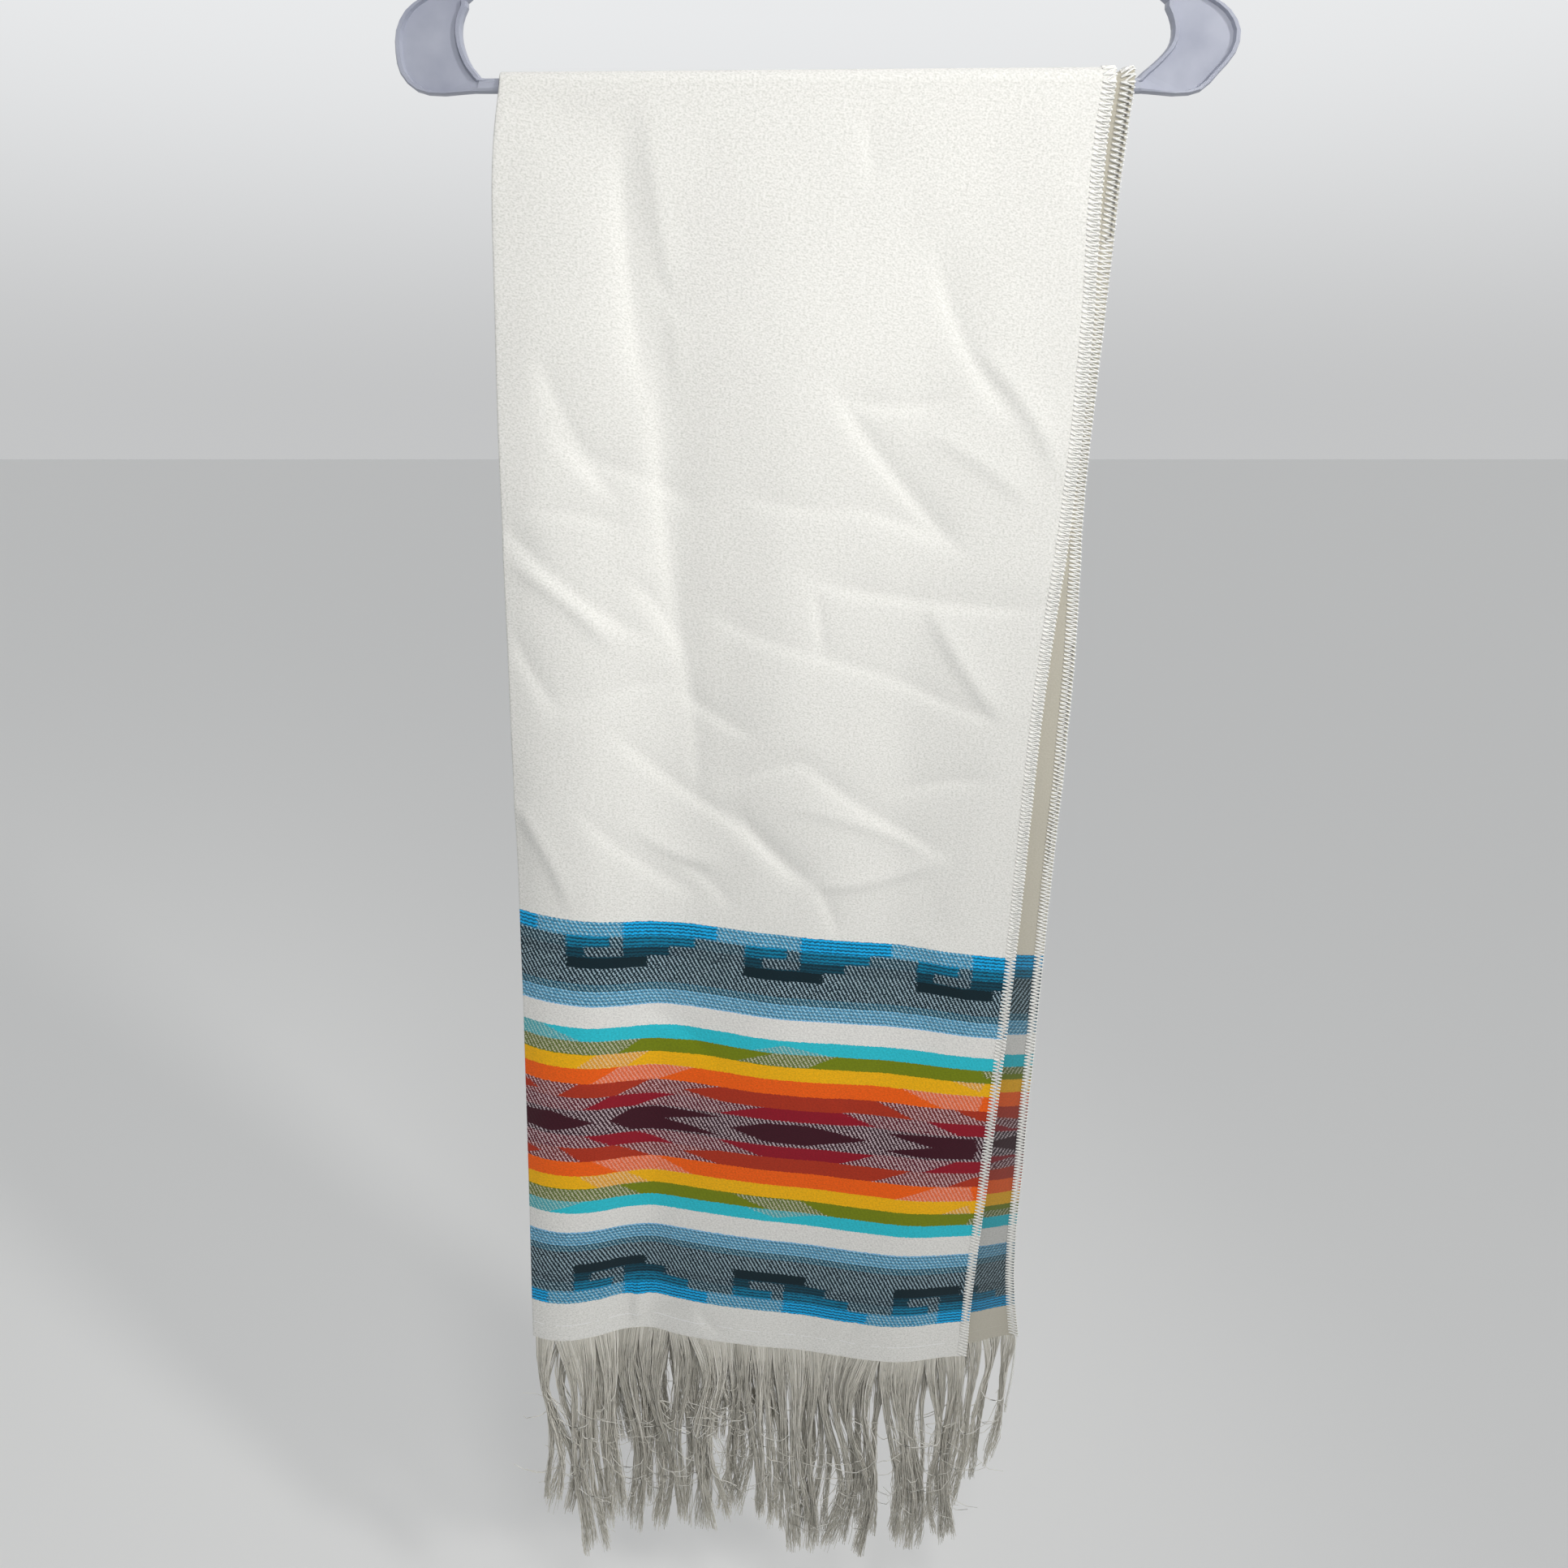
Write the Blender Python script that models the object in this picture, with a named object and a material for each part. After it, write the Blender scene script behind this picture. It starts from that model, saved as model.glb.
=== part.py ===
"""A rebozo shawl, folded in half lengthwise and hung over the bar of a plastic clothes hanger.

Run it with: blender --background --python part.py
Units are metres and +Z is up. The shawl's front faces -Y. The origin is the inside top of the
hanger's hook, where a rail carries it.
"""

import math
import random

import bmesh
import bpy
import numpy as np

MM = 0.001

# The hanger: one flat loop of plastic with a round bar, and a hook
BAR_Z = -0.200  # height of the bar's centre under the rail
BAR_R = 3.5 * MM
RIM_DEPTH = 3.5 * MM  # half the hanger's thickness, at its rims
WEB_DEPTH = 1.2 * MM  # half the thickness of the web between the rims
RIM_WIDTH = 3.6 * MM
RIM_ROUND = 0.9 * MM
LOOP_SIDES = 16
LOOP_REFINE = 2
HOOK_R = 3.0 * MM
HOOK_SIDES = 12
RAIL_SPACE_R = 20.0 * MM  # inside radius of the crook
CROOK_START = math.radians(-60)
CROOK_END = math.radians(212)
CROOK_STEPS = 20
RIGHT_LEAN = 9.0 * MM  # how much further out the right arm's root lies than the left one's
LEAN_START = 3.0 * MM  # height over the bar where that lean starts
LEAN_RISE = 18.0 * MM  # and over which it grows
LEAN_REACH = 200.0 * MM  # distance from the middle where it is full
STEM_TOP_Z = -0.060
STEM_FOOT_Z = -0.080
STEM_STEPS = 6
STEM_BEND = 0.45  # how stiffly the stem leaves both its ends, as a share of its length
HOOK_END = ((0.7, 0.72), (0.95, 0.3))  # rounded tip: how far on and how wide, as shares of HOOK_R
COLLAR_R = 6.0 * MM
COLLAR_Z = (-0.086, -0.066)

# Half of the hanger's loop, seen from the front, from the middle of the bar round the left
# corner to the neck. Millimetres from the middle, and above the bar's centre.
# Columns: outer x, outer z, inner x, inner z, share of the rimmed section (0 is a round bar)
LOOP_STATIONS = (
    (0, -3.5, 0, 3.5, 0),
    (-152, -3.5, -152, 3.5, 0),
    (-170, -3.8, -163, 3.6, 0.5),
    (-187, -4.3, -167.5, 4.6, 1),
    (-200, -2.4, -170.5, 8.2, 1),
    (-207.4, 5, -172.8, 12.5, 1),
    (-209, 14.5, -174.4, 17.5, 1),
    (-207.8, 24.5, -175, 22.5, 1),
    (-202.5, 33, -174.2, 28, 1),
    (-194, 38.5, -171, 34.5, 1),
    (-183, 43.4, -165, 41.3, 1),
    (-120, 72.8, -115, 64.6, 1),
    (-40, 110, -35, 101.9, 1),
    (-20, 119.6, -16, 109.8, 1),
    (-9, 126.5, -6, 113, 1),
)
LOOP_TOP = (0, 128, 0, 113.8, 1)

# The cloth
WALL = 1.2 * MM
GAP = 0.3 * MM  # between touching pieces
LAYER_GAP = 0.3 * MM  # between the two layers over the bar
INNER_R = BAR_R + GAP + WALL / 2
LAYER_STEP = WALL + LAYER_GAP
OUTER_R = INNER_R + LAYER_STEP
FRONT_FALL = 0.7644  # bar to hem in front, along the fold
BACK_FALL = 0.720  # bar to hem behind, along the fold
SKEW = {"outer": 0.0467, "inner": 0.0445}  # how much lower the front hem is at its open edge
LAYER_SPREAD = 2.0 * MM  # extra space between the layers at the hem
EDGE_SPREAD = 9.0 * MM  # extra space there beyond the outer layer's edge
SPREAD_REACH = 0.12  # the share of the width over which that space opens
RISE_REACH = 0.03  # beyond the outer edge, on the bar, the inner layer comes up beside it
EDGE_LOFT = 2.2 * MM  # how much higher the stitched edges lie on the bar than the fold
LOFT_FADE = 0.16  # the fall over which that dies away

# Where the cloth's edges are, left to right, as it falls
# Columns: metres below the bar, x of the fold, x of the outer edge, x of the inner edge
FRONT_EDGES = (
    (0.000, -0.1566, 0.1545, 0.1640),
    (0.020, -0.1603, 0.1528, 0.1626),
    (0.113, -0.1668, 0.1535, 0.1594),
    (0.198, -0.1694, 0.1512, 0.1566),
    (0.302, -0.1715, 0.1436, 0.1592),
    (0.490, -0.1755, 0.1368, 0.1562),
    (0.650, -0.1812, 0.1278, 0.1534),
    (0.770, -0.1856, 0.1204, 0.1548),
    (0.810, -0.1870, 0.1191, 0.1602),
)
BACK_EDGES = (
    (0.000, -0.1566, 0.1545, 0.1640),
    (0.020, -0.1572, 0.1532, 0.1600),
    (0.200, -0.1580, 0.1470, 0.1530),
    (0.450, -0.1600, 0.1370, 0.1430),
    (0.730, -0.1610, 0.1290, 0.1360),
)

# Soft folds: how far the outer front layer and the inner back layer stand behind (+) or in
# front of (-) the plane in which they leave the bar, in millimetres, at shares of the outer
# layer's width, 0 at the fold and 1 at its edge. The cloth is turned a little on the bar.
# Columns: metres below the bar, then pairs of share of the width and millimetres
FRONT_WAVES = (
    (0.000, ((0, 0), (1.2, 0))),
    (0.220, ((0, -4), (0.06, -7), (0.14, -6.5), (0.24, -1), (0.30, 3), (0.38, 1.5), (0.5, 0),
             (0.62, 2.5), (0.75, 6), (0.86, 7), (1, 7), (1.2, 8))),
    (0.470, ((0, -9), (0.03, -12.5), (0.08, -14.9), (0.14, -14), (0.20, -7.3), (0.26, 0.8),
             (0.32, 4.5), (0.38, 5), (0.5, 4.1), (0.56, 5.6), (0.62, 8.6), (0.68, 12.5),
             (0.74, 16.5), (0.80, 17.5), (0.9, 16.6), (1, 18.3), (1.2, 22))),
    (0.755, ((0, -11), (0.03, -13), (0.08, -11.8), (0.14, -4.2), (0.20, 6), (0.26, 10),
             (0.32, 7.2), (0.38, 4.8), (0.5, 4.4), (0.62, 5.7), (0.68, 4.5), (0.76, 3.7),
             (0.82, 5), (0.86, 7.5), (0.92, 13), (1, 19.5), (1.2, 25))),
)
BACK_WAVES = (
    (0.000, ((0, 0), (1.2, 0))),
    (0.250, ((0, 2), (0.2, 4), (0.45, 2.5), (0.7, 9), (1, 14), (1.2, 15))),
    (0.470, ((0, 5), (0.15, 4), (0.3, 9), (0.48, 6), (0.66, 16), (0.82, 17), (1, 25),
             (1.2, 26))),
    (0.700, ((0, 8), (0.12, 4), (0.28, 13), (0.46, 6), (0.62, 17), (0.80, 16), (1, 27),
             (1.2, 28))),
)

SHARP_ANGLE = math.radians(50)

# How finely the solids follow those curves
COLUMNS = 22  # in each layer
TURN_COLUMNS = 4
FRONT_ROWS = 18
BACK_ROWS = 12
OVER_BAR_STEPS = 6

# The fringe: a strip under each layer's hem, and locks that part below it
STRIP_HEIGHT = 3.0 * MM
STRIP_WALL = 1.4 * MM
LOCK_UNEVEN = 4.0 * MM
LOCK_DEPTH = 1.7 * MM
LOCK_SWAY = 0.4 * MM
CLUMP_DRAW = 0.28  # how far a lock is drawn to the middle of its clump
CLUMP_SQUEEZE = 0.75  # how much of that draw narrows the lock itself

# Columns: share of the lock's length, width as a share of its root, share of the clump's draw
LOCK_STATIONS = (
    (0.45, 0.66, 0.8),
    (1.0, 0.42, 1.0),
)

# Columns: node, layer, side, locks, seed, then its clumps from the fold to the open edge: the
# share of the hem's width where each one ends, and its length in millimetres
FRINGES = (
    ("fringe_front_outer", "outer", "front", 56, 3,
     ((0.045, 134), (0.13, 184), (0.18, 158), (0.23, 182), (0.295, 178), (0.34, 168),
      (0.43, 164), (0.467, 140), (0.537, 152), (0.65, 180), (0.79, 174), (0.9, 167), (1, 168))),
    ("fringe_front_inner", "inner", "front", 48, 5,
     ((0.08, 150), (0.16, 170), (0.27, 160), (0.36, 174), (0.45, 158), (0.52, 168), (0.62, 172),
      (0.72, 160), (0.82, 170), (0.92, 158), (0.965, 126), (1, 118))),
    ("fringe_back_inner", "inner", "back", 36, 7,
     ((0.12, 160), (0.25, 172), (0.36, 158), (0.52, 174), (0.64, 164), (0.8, 170), (0.9, 152),
      (1, 166))),
    ("fringe_back_outer", "outer", "back", 42, 9,
     ((0.09, 148), (0.2, 176), (0.3, 160), (0.42, 178), (0.52, 166), (0.66, 174), (0.76, 156),
      (0.9, 172), (1, 160))),
)

# Columns: name, red, green, blue, roughness
MATERIALS = (
    ("shawl_cloth", 0.86, 0.85, 0.80, 0.9),
    ("fringe_yarn", 0.52, 0.50, 0.46, 0.9),
    ("hanger_plastic", 0.50, 0.52, 0.60, 0.4),
)


def read_curve(positions, values, at):
    """Reads a smooth curve that goes through values[i] at positions[i]."""
    positions = np.asarray(positions, float)
    values = np.asarray(values, float)
    slopes = np.gradient(values, positions, axis=0)
    at = np.clip(at, positions[0], positions[-1])
    i = np.clip(np.searchsorted(positions, at) - 1, 0, len(positions) - 2)
    span = positions[i + 1] - positions[i]
    t = (at - positions[i]) / span
    start = 1 - t * t * (3 - 2 * t)
    slope_in = t * (1 - t) ** 2 * span
    slope_out = -t * t * (1 - t) * span
    return (
        start * values[i]
        + (1 - start) * values[i + 1]
        + slope_in * slopes[i]
        + slope_out * slopes[i + 1]
    )


def edge_x(edges, fall, column):
    """x of the fold (column 1), the outer edge (2) or the inner edge (3), at a fall."""
    return read_curve([row[0] for row in edges], [row[column] for row in edges], fall)


def wave(waves, fall, share):
    """How far the cloth stands back or forward there, in metres."""
    falls = [row[0] for row in waves]
    shares_and_depths = [zip(*row[1]) for row in waves]
    depths = [read_curve(list(s), list(d), share) for s, d in shares_and_depths]
    return read_curve(falls, depths, fall) * MM


def smooth_step(value):
    value = min(max(value, 0.0), 1.0)
    return value * value * (3 - 2 * value)


class Side:
    """The half of the shawl that hangs in front of the bar, or behind it."""

    def __init__(self, name):
        self.front = name == "front"
        self.edges = FRONT_EDGES if self.front else BACK_EDGES
        self.waves = FRONT_WAVES if self.front else BACK_WAVES
        self.rows = FRONT_ROWS if self.front else BACK_ROWS

    def fall(self, layer, across, down):
        """Metres below the bar, for shares across the layer and down to the hem."""
        skew = SKEW[layer] * across
        longest = FRONT_FALL + skew if self.front else BACK_FALL - skew
        return longest * down

    def loft(self, fall, share):
        """How much the stitched edges lift the cloth off the bar there."""
        return EDGE_LOFT * min(share, 1.0) * (1 - smooth_step(fall / LOFT_FADE))

    def layer_step(self, fall, share):
        """The space from the middle of one layer to the middle of the other."""
        depth = fall / FRONT_FALL
        beyond = smooth_step((share - 1) / SPREAD_REACH)
        spread = (LAYER_SPREAD + EDGE_SPREAD * beyond) * depth
        return LAYER_STEP + spread + self.loft(fall, share) / 2

    def inner_step(self, fall, share):
        """The same space as the inner layer keeps it: none beside the outer layer's edge."""
        risen = smooth_step((share - 1) / RISE_REACH) * (1 - smooth_step(fall / LOFT_FADE))
        return self.layer_step(fall, share) * (1 - risen)

    def outer_y(self, fall, share):
        moved = wave(self.waves, fall, share)
        lift = self.loft(fall, share)
        if self.front:
            return -OUTER_R - lift + moved
        return INNER_R + lift / 2 + moved + self.layer_step(fall, share)

    def point(self, layer, across, down):
        """A point in the middle of a layer's wall."""
        fall = self.fall(layer, across, down)
        fold = edge_x(self.edges, fall, 1)
        outer_width = edge_x(self.edges, fall, 2) - fold
        width = outer_width if layer == "outer" else edge_x(self.edges, fall, 3) - fold
        turn_r = self.layer_step(fall, 0) / 2
        x = fold + turn_r + (width - turn_r) * across
        share = max((x - fold) / outer_width, 0.0)
        y = self.outer_y(fall, share)
        if layer == "inner":
            step = self.inner_step(fall, share)
            y += step if self.front else -step
        return np.array((x, y, BAR_Z - fall))

    def section(self, down):
        """The folded wall's middle line at one share down: outer edge, fold, inner edge."""
        shares = [i / COLUMNS for i in range(COLUMNS + 1)]
        outer = [self.point("outer", 1 - share, down) for share in shares]
        inner = [self.point("inner", share, down) for share in shares]
        centre = (outer[-1] + inner[0]) / 2
        toward_outer = outer[-1] - centre
        turn_r = np.linalg.norm(toward_outer)
        turn = []
        for i in range(1, TURN_COLUMNS):
            angle = math.pi * i / TURN_COLUMNS
            out = np.array((-turn_r * math.sin(angle), 0, 0))
            turn.append(centre + toward_outer * math.cos(angle) + out)
        return outer + turn + inner


def over_bar_section(angle):
    """The folded wall's middle line where it lies on the bar, at an angle over it."""
    front = Side("front")
    rows = []
    for point in front.section(0.0):
        radius = -point[1]
        rows.append(
            np.array((
                point[0],
                -radius * math.cos(angle),
                BAR_Z + radius * math.sin(angle),
            ))
        )
    return rows


def material(name):
    """The named row of MATERIALS as a Principled BSDF."""
    found = bpy.data.materials.get(name)
    if found:
        return found
    colour = next(row for row in MATERIALS if row[0] == name)
    made = bpy.data.materials.new(name)
    made.use_nodes = True
    shader = made.node_tree.nodes["Principled BSDF"]
    shader.inputs["Base Color"].default_value = (*colour[1:4], 1)
    shader.inputs["Roughness"].default_value = colour[4]
    return made


def add_object(name, points, faces, material_name):
    """Adds one named object with outward faces."""
    mesh = bpy.data.meshes.new(name)
    mesh.from_pydata([tuple(float(v) for v in p) for p in points], [], faces)
    shape = bmesh.new()
    shape.from_mesh(mesh)
    bmesh.ops.recalc_face_normals(shape, faces=shape.faces)
    shape.to_mesh(mesh)
    shape.free()
    mesh.shade_smooth()
    mesh.set_sharp_from_angle(angle=SHARP_ANGLE)
    made = bpy.data.objects.new(name, mesh)
    made.data.materials.append(material(material_name))
    bpy.context.scene.collection.objects.link(made)
    return made


def wall_from_grid(name, grid):
    """A closed wall around a grid of middle points: half its thickness on each side."""
    grid = np.array(grid)
    rows, columns = grid.shape[:2]
    along = np.gradient(grid, axis=1)
    down = np.gradient(grid, axis=0)
    normals = np.cross(along, down)
    normals /= np.linalg.norm(normals, axis=2, keepdims=True)
    points = np.concatenate((
        (grid + normals * WALL / 2).reshape(-1, 3),
        (grid - normals * WALL / 2).reshape(-1, 3),
    ))
    other = rows * columns

    def at(row, column):
        return row * columns + column

    faces = []
    for r in range(rows - 1):
        for c in range(columns - 1):
            quad = (at(r, c), at(r, c + 1), at(r + 1, c + 1), at(r + 1, c))
            faces.append(quad)
            faces.append(tuple(i + other for i in reversed(quad)))
    border = [(at(0, c), at(0, c + 1)) for c in range(columns - 1)]
    border += [(at(rows - 1, c + 1), at(rows - 1, c)) for c in range(columns - 1)]
    border += [(at(r + 1, 0), at(r, 0)) for r in range(rows - 1)]
    border += [(at(r, columns - 1), at(r + 1, columns - 1)) for r in range(rows - 1)]
    faces += [(b, a, a + other, b + other) for a, b in border]
    return add_object(name, points, faces, "shawl_cloth")


def add_side(name, side):
    """The stretch of cloth on one side of the bar, from just under it down to its hem."""
    first = GAP / 2 / FRONT_FALL
    shares = [first + (1 - first) * i / side.rows for i in range(side.rows + 1)]
    wall_from_grid(name, [side.section(share) for share in shares])


def add_over_bar():
    angles = [math.pi * i / OVER_BAR_STEPS for i in range(OVER_BAR_STEPS + 1)]
    angles[0] = GAP / 2 / INNER_R
    angles[-1] = math.pi - GAP / 2 / INNER_R
    wall_from_grid("shawl_over_bar", [over_bar_section(angle) for angle in angles])


def clump_at(share, clumps):
    """The middle and the length of the clump that a lock at this share belongs to."""
    begin = 0.0
    for end, length in clumps:
        if share < end:
            break
        begin = end
    return (begin + end) / 2, length * MM


def ring(centre, half_width, half_depth):
    """Four corners round a lock's middle line: front left, front right, back right, left."""
    corners = ((-1, -1), (1, -1), (1, 1), (-1, 1))
    return [
        centre + np.array((half_width * sx, half_depth * sy, 0.0)) for sx, sy in corners
    ]


def add_fringe(name, layer, side_name, locks, seed, clumps):
    """A narrow strip under a hem, and locks of yarn that hang from it."""
    rng = random.Random(seed)
    side = Side(side_name)
    hem = [side.point(layer, k / locks, 1.0) for k in range(locks + 1)]
    points = []
    for middle in hem:
        for lower in (GAP, GAP + STRIP_HEIGHT):
            for toward in (-STRIP_WALL / 2, STRIP_WALL / 2):
                points.append(middle + np.array((0, toward, -lower)))
    top_front, top_back, low_front, low_back = range(4)

    def at(station, corner):
        return station * 4 + corner

    faces = []
    for k in range(locks):
        for a, b in ((top_back, top_front), (top_front, low_front), (low_back, top_back)):
            faces.append((at(k, a), at(k, b), at(k + 1, b), at(k + 1, a)))
    for k in (0, locks):
        faces.append(tuple(at(k, c) for c in (top_front, top_back, low_back, low_front)))
    for k in range(locks):
        root = (hem[k] + hem[k + 1]) / 2
        half_root = (hem[k + 1][0] - hem[k][0]) / 2
        clump_middle, clump_length = clump_at((k + 0.5) / locks, clumps)
        clump = side.point(layer, clump_middle, 1.0)
        draw = (clump - root) * (CLUMP_DRAW, CLUMP_DRAW, 0)
        length = clump_length + rng.uniform(-1, 1) * LOCK_UNEVEN
        previous = [at(k, low_front), at(k + 1, low_front)]
        previous += [at(k + 1, low_back), at(k, low_back)]
        for down, width, drawn in LOCK_STATIONS:
            sway = rng.uniform(-1, 1) * LOCK_SWAY
            centre = root + draw * drawn + np.array((sway, 0, -length * down))
            narrowed = half_root * width * (1 - CLUMP_DRAW * drawn * CLUMP_SQUEEZE)
            first = len(points)
            points += ring(centre, narrowed, LOCK_DEPTH / 2 * width)
            current = [first, first + 1, first + 2, first + 3]
            for i in range(4):
                j = (i + 1) % 4
                faces.append((previous[i], previous[j], current[j], current[i]))
            previous = current
        faces.append(tuple(previous))
    add_object(name, points, faces, "fringe_yarn")


def lean_out(x, z):
    """Moves a point of the right arm outward; x and z are in millimetres."""
    return x + RIGHT_LEAN * smooth_step((z * MM - LEAN_START) / LEAN_RISE) * x / LEAN_REACH


def loop_stations():
    """The hanger's whole loop, with points read from a smooth curve through its stations."""
    left = list(LOOP_STATIONS)
    right = [
        (lean_out(-ox, oz), oz, lean_out(-ix, iz), iz, share)
        for ox, oz, ix, iz, share in left[1:]
    ]
    stations = left + [LOOP_TOP] + right[::-1]
    count = len(stations)
    tripled = np.array(stations * 3, float)
    places = np.arange(len(tripled))
    smooth = []
    for i in range(count):
        steps = 1 if i in (0, count - 1) else LOOP_REFINE
        for step in range(steps):
            smooth.append(read_curve(places, tripled, float(count + i + step / steps)))
    return smooth


def loop_section(station):
    """The hanger's wall across one station, between its outer and its inner point."""
    outer_x, outer_z, inner_x, inner_z, rimmed = station
    outer = np.array((outer_x, 0, BAR_Z / MM + outer_z)) * MM
    inner = np.array((inner_x, 0, BAR_Z / MM + inner_z)) * MM
    middle = (outer + inner) / 2
    inward = inner - outer
    half = np.linalg.norm(inward) / 2
    inward = inward / (2 * half)
    quarter = [
        (half, RIM_DEPTH - RIM_ROUND * 2),
        (half - RIM_ROUND, RIM_DEPTH),
        (half - RIM_WIDTH + RIM_ROUND, RIM_DEPTH),
        (half - RIM_WIDTH, WEB_DEPTH),
    ]
    top = [(-a, y) for a, y in quarter] + quarter[::-1]
    rims = top + [(a, -y) for a, y in top[::-1]]
    section = []
    for i, (a, y) in enumerate(rims):
        angle = math.pi - (i + 0.5) * math.tau / LOOP_SIDES
        round_a = BAR_R * math.cos(angle)
        round_y = BAR_R * math.sin(angle)
        mixed_a = a * rimmed + round_a * (1 - rimmed)
        mixed_y = y * rimmed + round_y * (1 - rimmed)
        section.append(middle + inward * mixed_a + np.array((0, mixed_y, 0)))
    return section


def skin(sections, closed):
    """Points and faces of a surface through rings of equal length."""
    sides = len(sections[0])
    points = [p for section in sections for p in section]
    faces = []
    last = len(sections) if closed else len(sections) - 1
    for r in range(last):
        above = (r + 1) % len(sections)
        for i in range(sides):
            j = (i + 1) % sides
            faces.append((r * sides + i, r * sides + j, above * sides + j, above * sides + i))
    if not closed:
        faces.append(tuple(range(sides)))
        faces.append(tuple((len(sections) - 1) * sides + i for i in range(sides)))
    return points, faces


def hook_path():
    """The hook's middle line: up the stem, then round the crook over the rail."""
    crook_r = RAIL_SPACE_R + HOOK_R
    centre = np.array((0, 0, -RAIL_SPACE_R))

    def on_crook(angle):
        return centre + crook_r * np.array((math.cos(angle), 0, math.sin(angle)))

    stem = np.array((0, 0, STEM_TOP_Z))
    meet = on_crook(CROOK_START)
    direction = np.array((-math.sin(CROOK_START), 0, math.cos(CROOK_START)))
    reach = np.linalg.norm(meet - stem) * STEM_BEND
    controls = (stem, stem + np.array((0, 0, reach)), meet - direction * reach, meet)
    path = [np.array((0, 0, STEM_FOOT_Z))]
    for i in range(STEM_STEPS):
        t = i / STEM_STEPS
        weights = ((1 - t) ** 3, 3 * t * (1 - t) ** 2, 3 * t * t * (1 - t), t**3)
        path.append(sum(w * c for w, c in zip(weights, controls)))
    span = CROOK_END - CROOK_START
    path += [on_crook(CROOK_START + span * i / CROOK_STEPS) for i in range(CROOK_STEPS + 1)]
    return path


def tube(path, radius, sides):
    """Rings round a path in the XZ plane, with a rounded end at its last point."""
    radii = [radius] * len(path)
    along = np.gradient(np.array(path), axis=0)
    tangent = along[-1] / np.linalg.norm(along[-1])
    end = path[-1]
    for further, width in HOOK_END:
        path.append(end + tangent * radius * further)
        radii.append(radius * width)
        along = np.vstack((along, tangent))
    rings = []
    for point, direction, r in zip(path, along, radii):
        direction = direction / np.linalg.norm(direction)
        across = np.array((direction[2], 0, -direction[0]))
        rings.append([
            point
            + across * r * math.cos(math.tau * i / sides)
            + np.array((0, r * math.sin(math.tau * i / sides), 0))
            for i in range(sides)
        ])
    return rings


def join_to(body, other):
    """Joins another closed shape to the body, and hides the shape that was joined."""
    union = body.modifiers.new("join " + other.name, "BOOLEAN")
    union.operation = "UNION"
    union.solver = "EXACT"
    union.object = other
    other.hide_render = True
    other.display_type = "WIRE"


def add_hanger():
    loop = [loop_section(station) for station in loop_stations()]
    hanger = add_object("hanger", *skin(loop, True), "hanger_plastic")
    collar = [
        [
            np.array((COLLAR_R * math.cos(a), COLLAR_R * math.sin(a), z))
            for a in (math.tau * i / HOOK_SIDES for i in range(HOOK_SIDES))
        ]
        for z in COLLAR_Z
    ]
    join_to(hanger, add_object("collar_shape", *skin(collar, False), "hanger_plastic"))
    hook = tube(hook_path(), HOOK_R, HOOK_SIDES)
    join_to(hanger, add_object("hook_shape", *skin(hook, False), "hanger_plastic"))


def main():
    for old in list(bpy.data.objects):
        bpy.data.objects.remove(old, do_unlink=True)
    add_hanger()
    add_over_bar()
    add_side("shawl_front", Side("front"))
    add_side("shawl_back", Side("back"))
    for row in FRINGES:
        add_fringe(*row)


main()
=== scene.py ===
"""The looks of a rebozo shawl that hangs, folded in half lengthwise, over a hanger's bar.

The cloth is drawn as three sheets on the solids' forms, finer and with its creases. Every point
keeps its distance from the fold and its height above the hem, so that one material weaves the
stripes and figures into all three.
Units are metres, +Z is up, and the shawl's front faces -Y.
"""

import math
from functools import partialmethod

import bpy
import numpy as np
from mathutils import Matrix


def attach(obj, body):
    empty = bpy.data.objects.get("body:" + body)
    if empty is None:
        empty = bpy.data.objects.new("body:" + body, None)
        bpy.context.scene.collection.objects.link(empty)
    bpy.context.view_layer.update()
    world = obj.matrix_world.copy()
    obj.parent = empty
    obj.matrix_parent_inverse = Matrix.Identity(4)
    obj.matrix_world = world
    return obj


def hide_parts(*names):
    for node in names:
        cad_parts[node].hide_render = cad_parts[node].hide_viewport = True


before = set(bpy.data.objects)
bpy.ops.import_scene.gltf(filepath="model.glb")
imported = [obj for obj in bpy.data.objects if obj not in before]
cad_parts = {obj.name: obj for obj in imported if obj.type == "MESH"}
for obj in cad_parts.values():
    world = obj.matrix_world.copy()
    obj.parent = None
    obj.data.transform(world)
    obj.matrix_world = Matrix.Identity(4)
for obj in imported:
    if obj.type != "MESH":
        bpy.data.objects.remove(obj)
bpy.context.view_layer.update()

MM = 0.001
BODY = "root"

# The form of the solids, repeated from the part's own sizes
BAR_Z = -0.200
BAR_R = 3.5 * MM
WALL = 1.2 * MM
GAP = 0.3 * MM
LAYER_GAP = 0.3 * MM
INNER_R = BAR_R + GAP + WALL / 2
LAYER_STEP = WALL + LAYER_GAP
OUTER_R = INNER_R + LAYER_STEP
FRONT_FALL = 0.7644
BACK_FALL = 0.720
SKEW = {"outer": 0.0467, "inner": 0.0445}
LAYER_SPREAD = 2.0 * MM
EDGE_SPREAD = 9.0 * MM
EDGE_LOFT = 2.2 * MM
LOFT_FADE = 0.16
SPREAD_REACH = 0.12
RISE_REACH = 0.03

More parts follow.
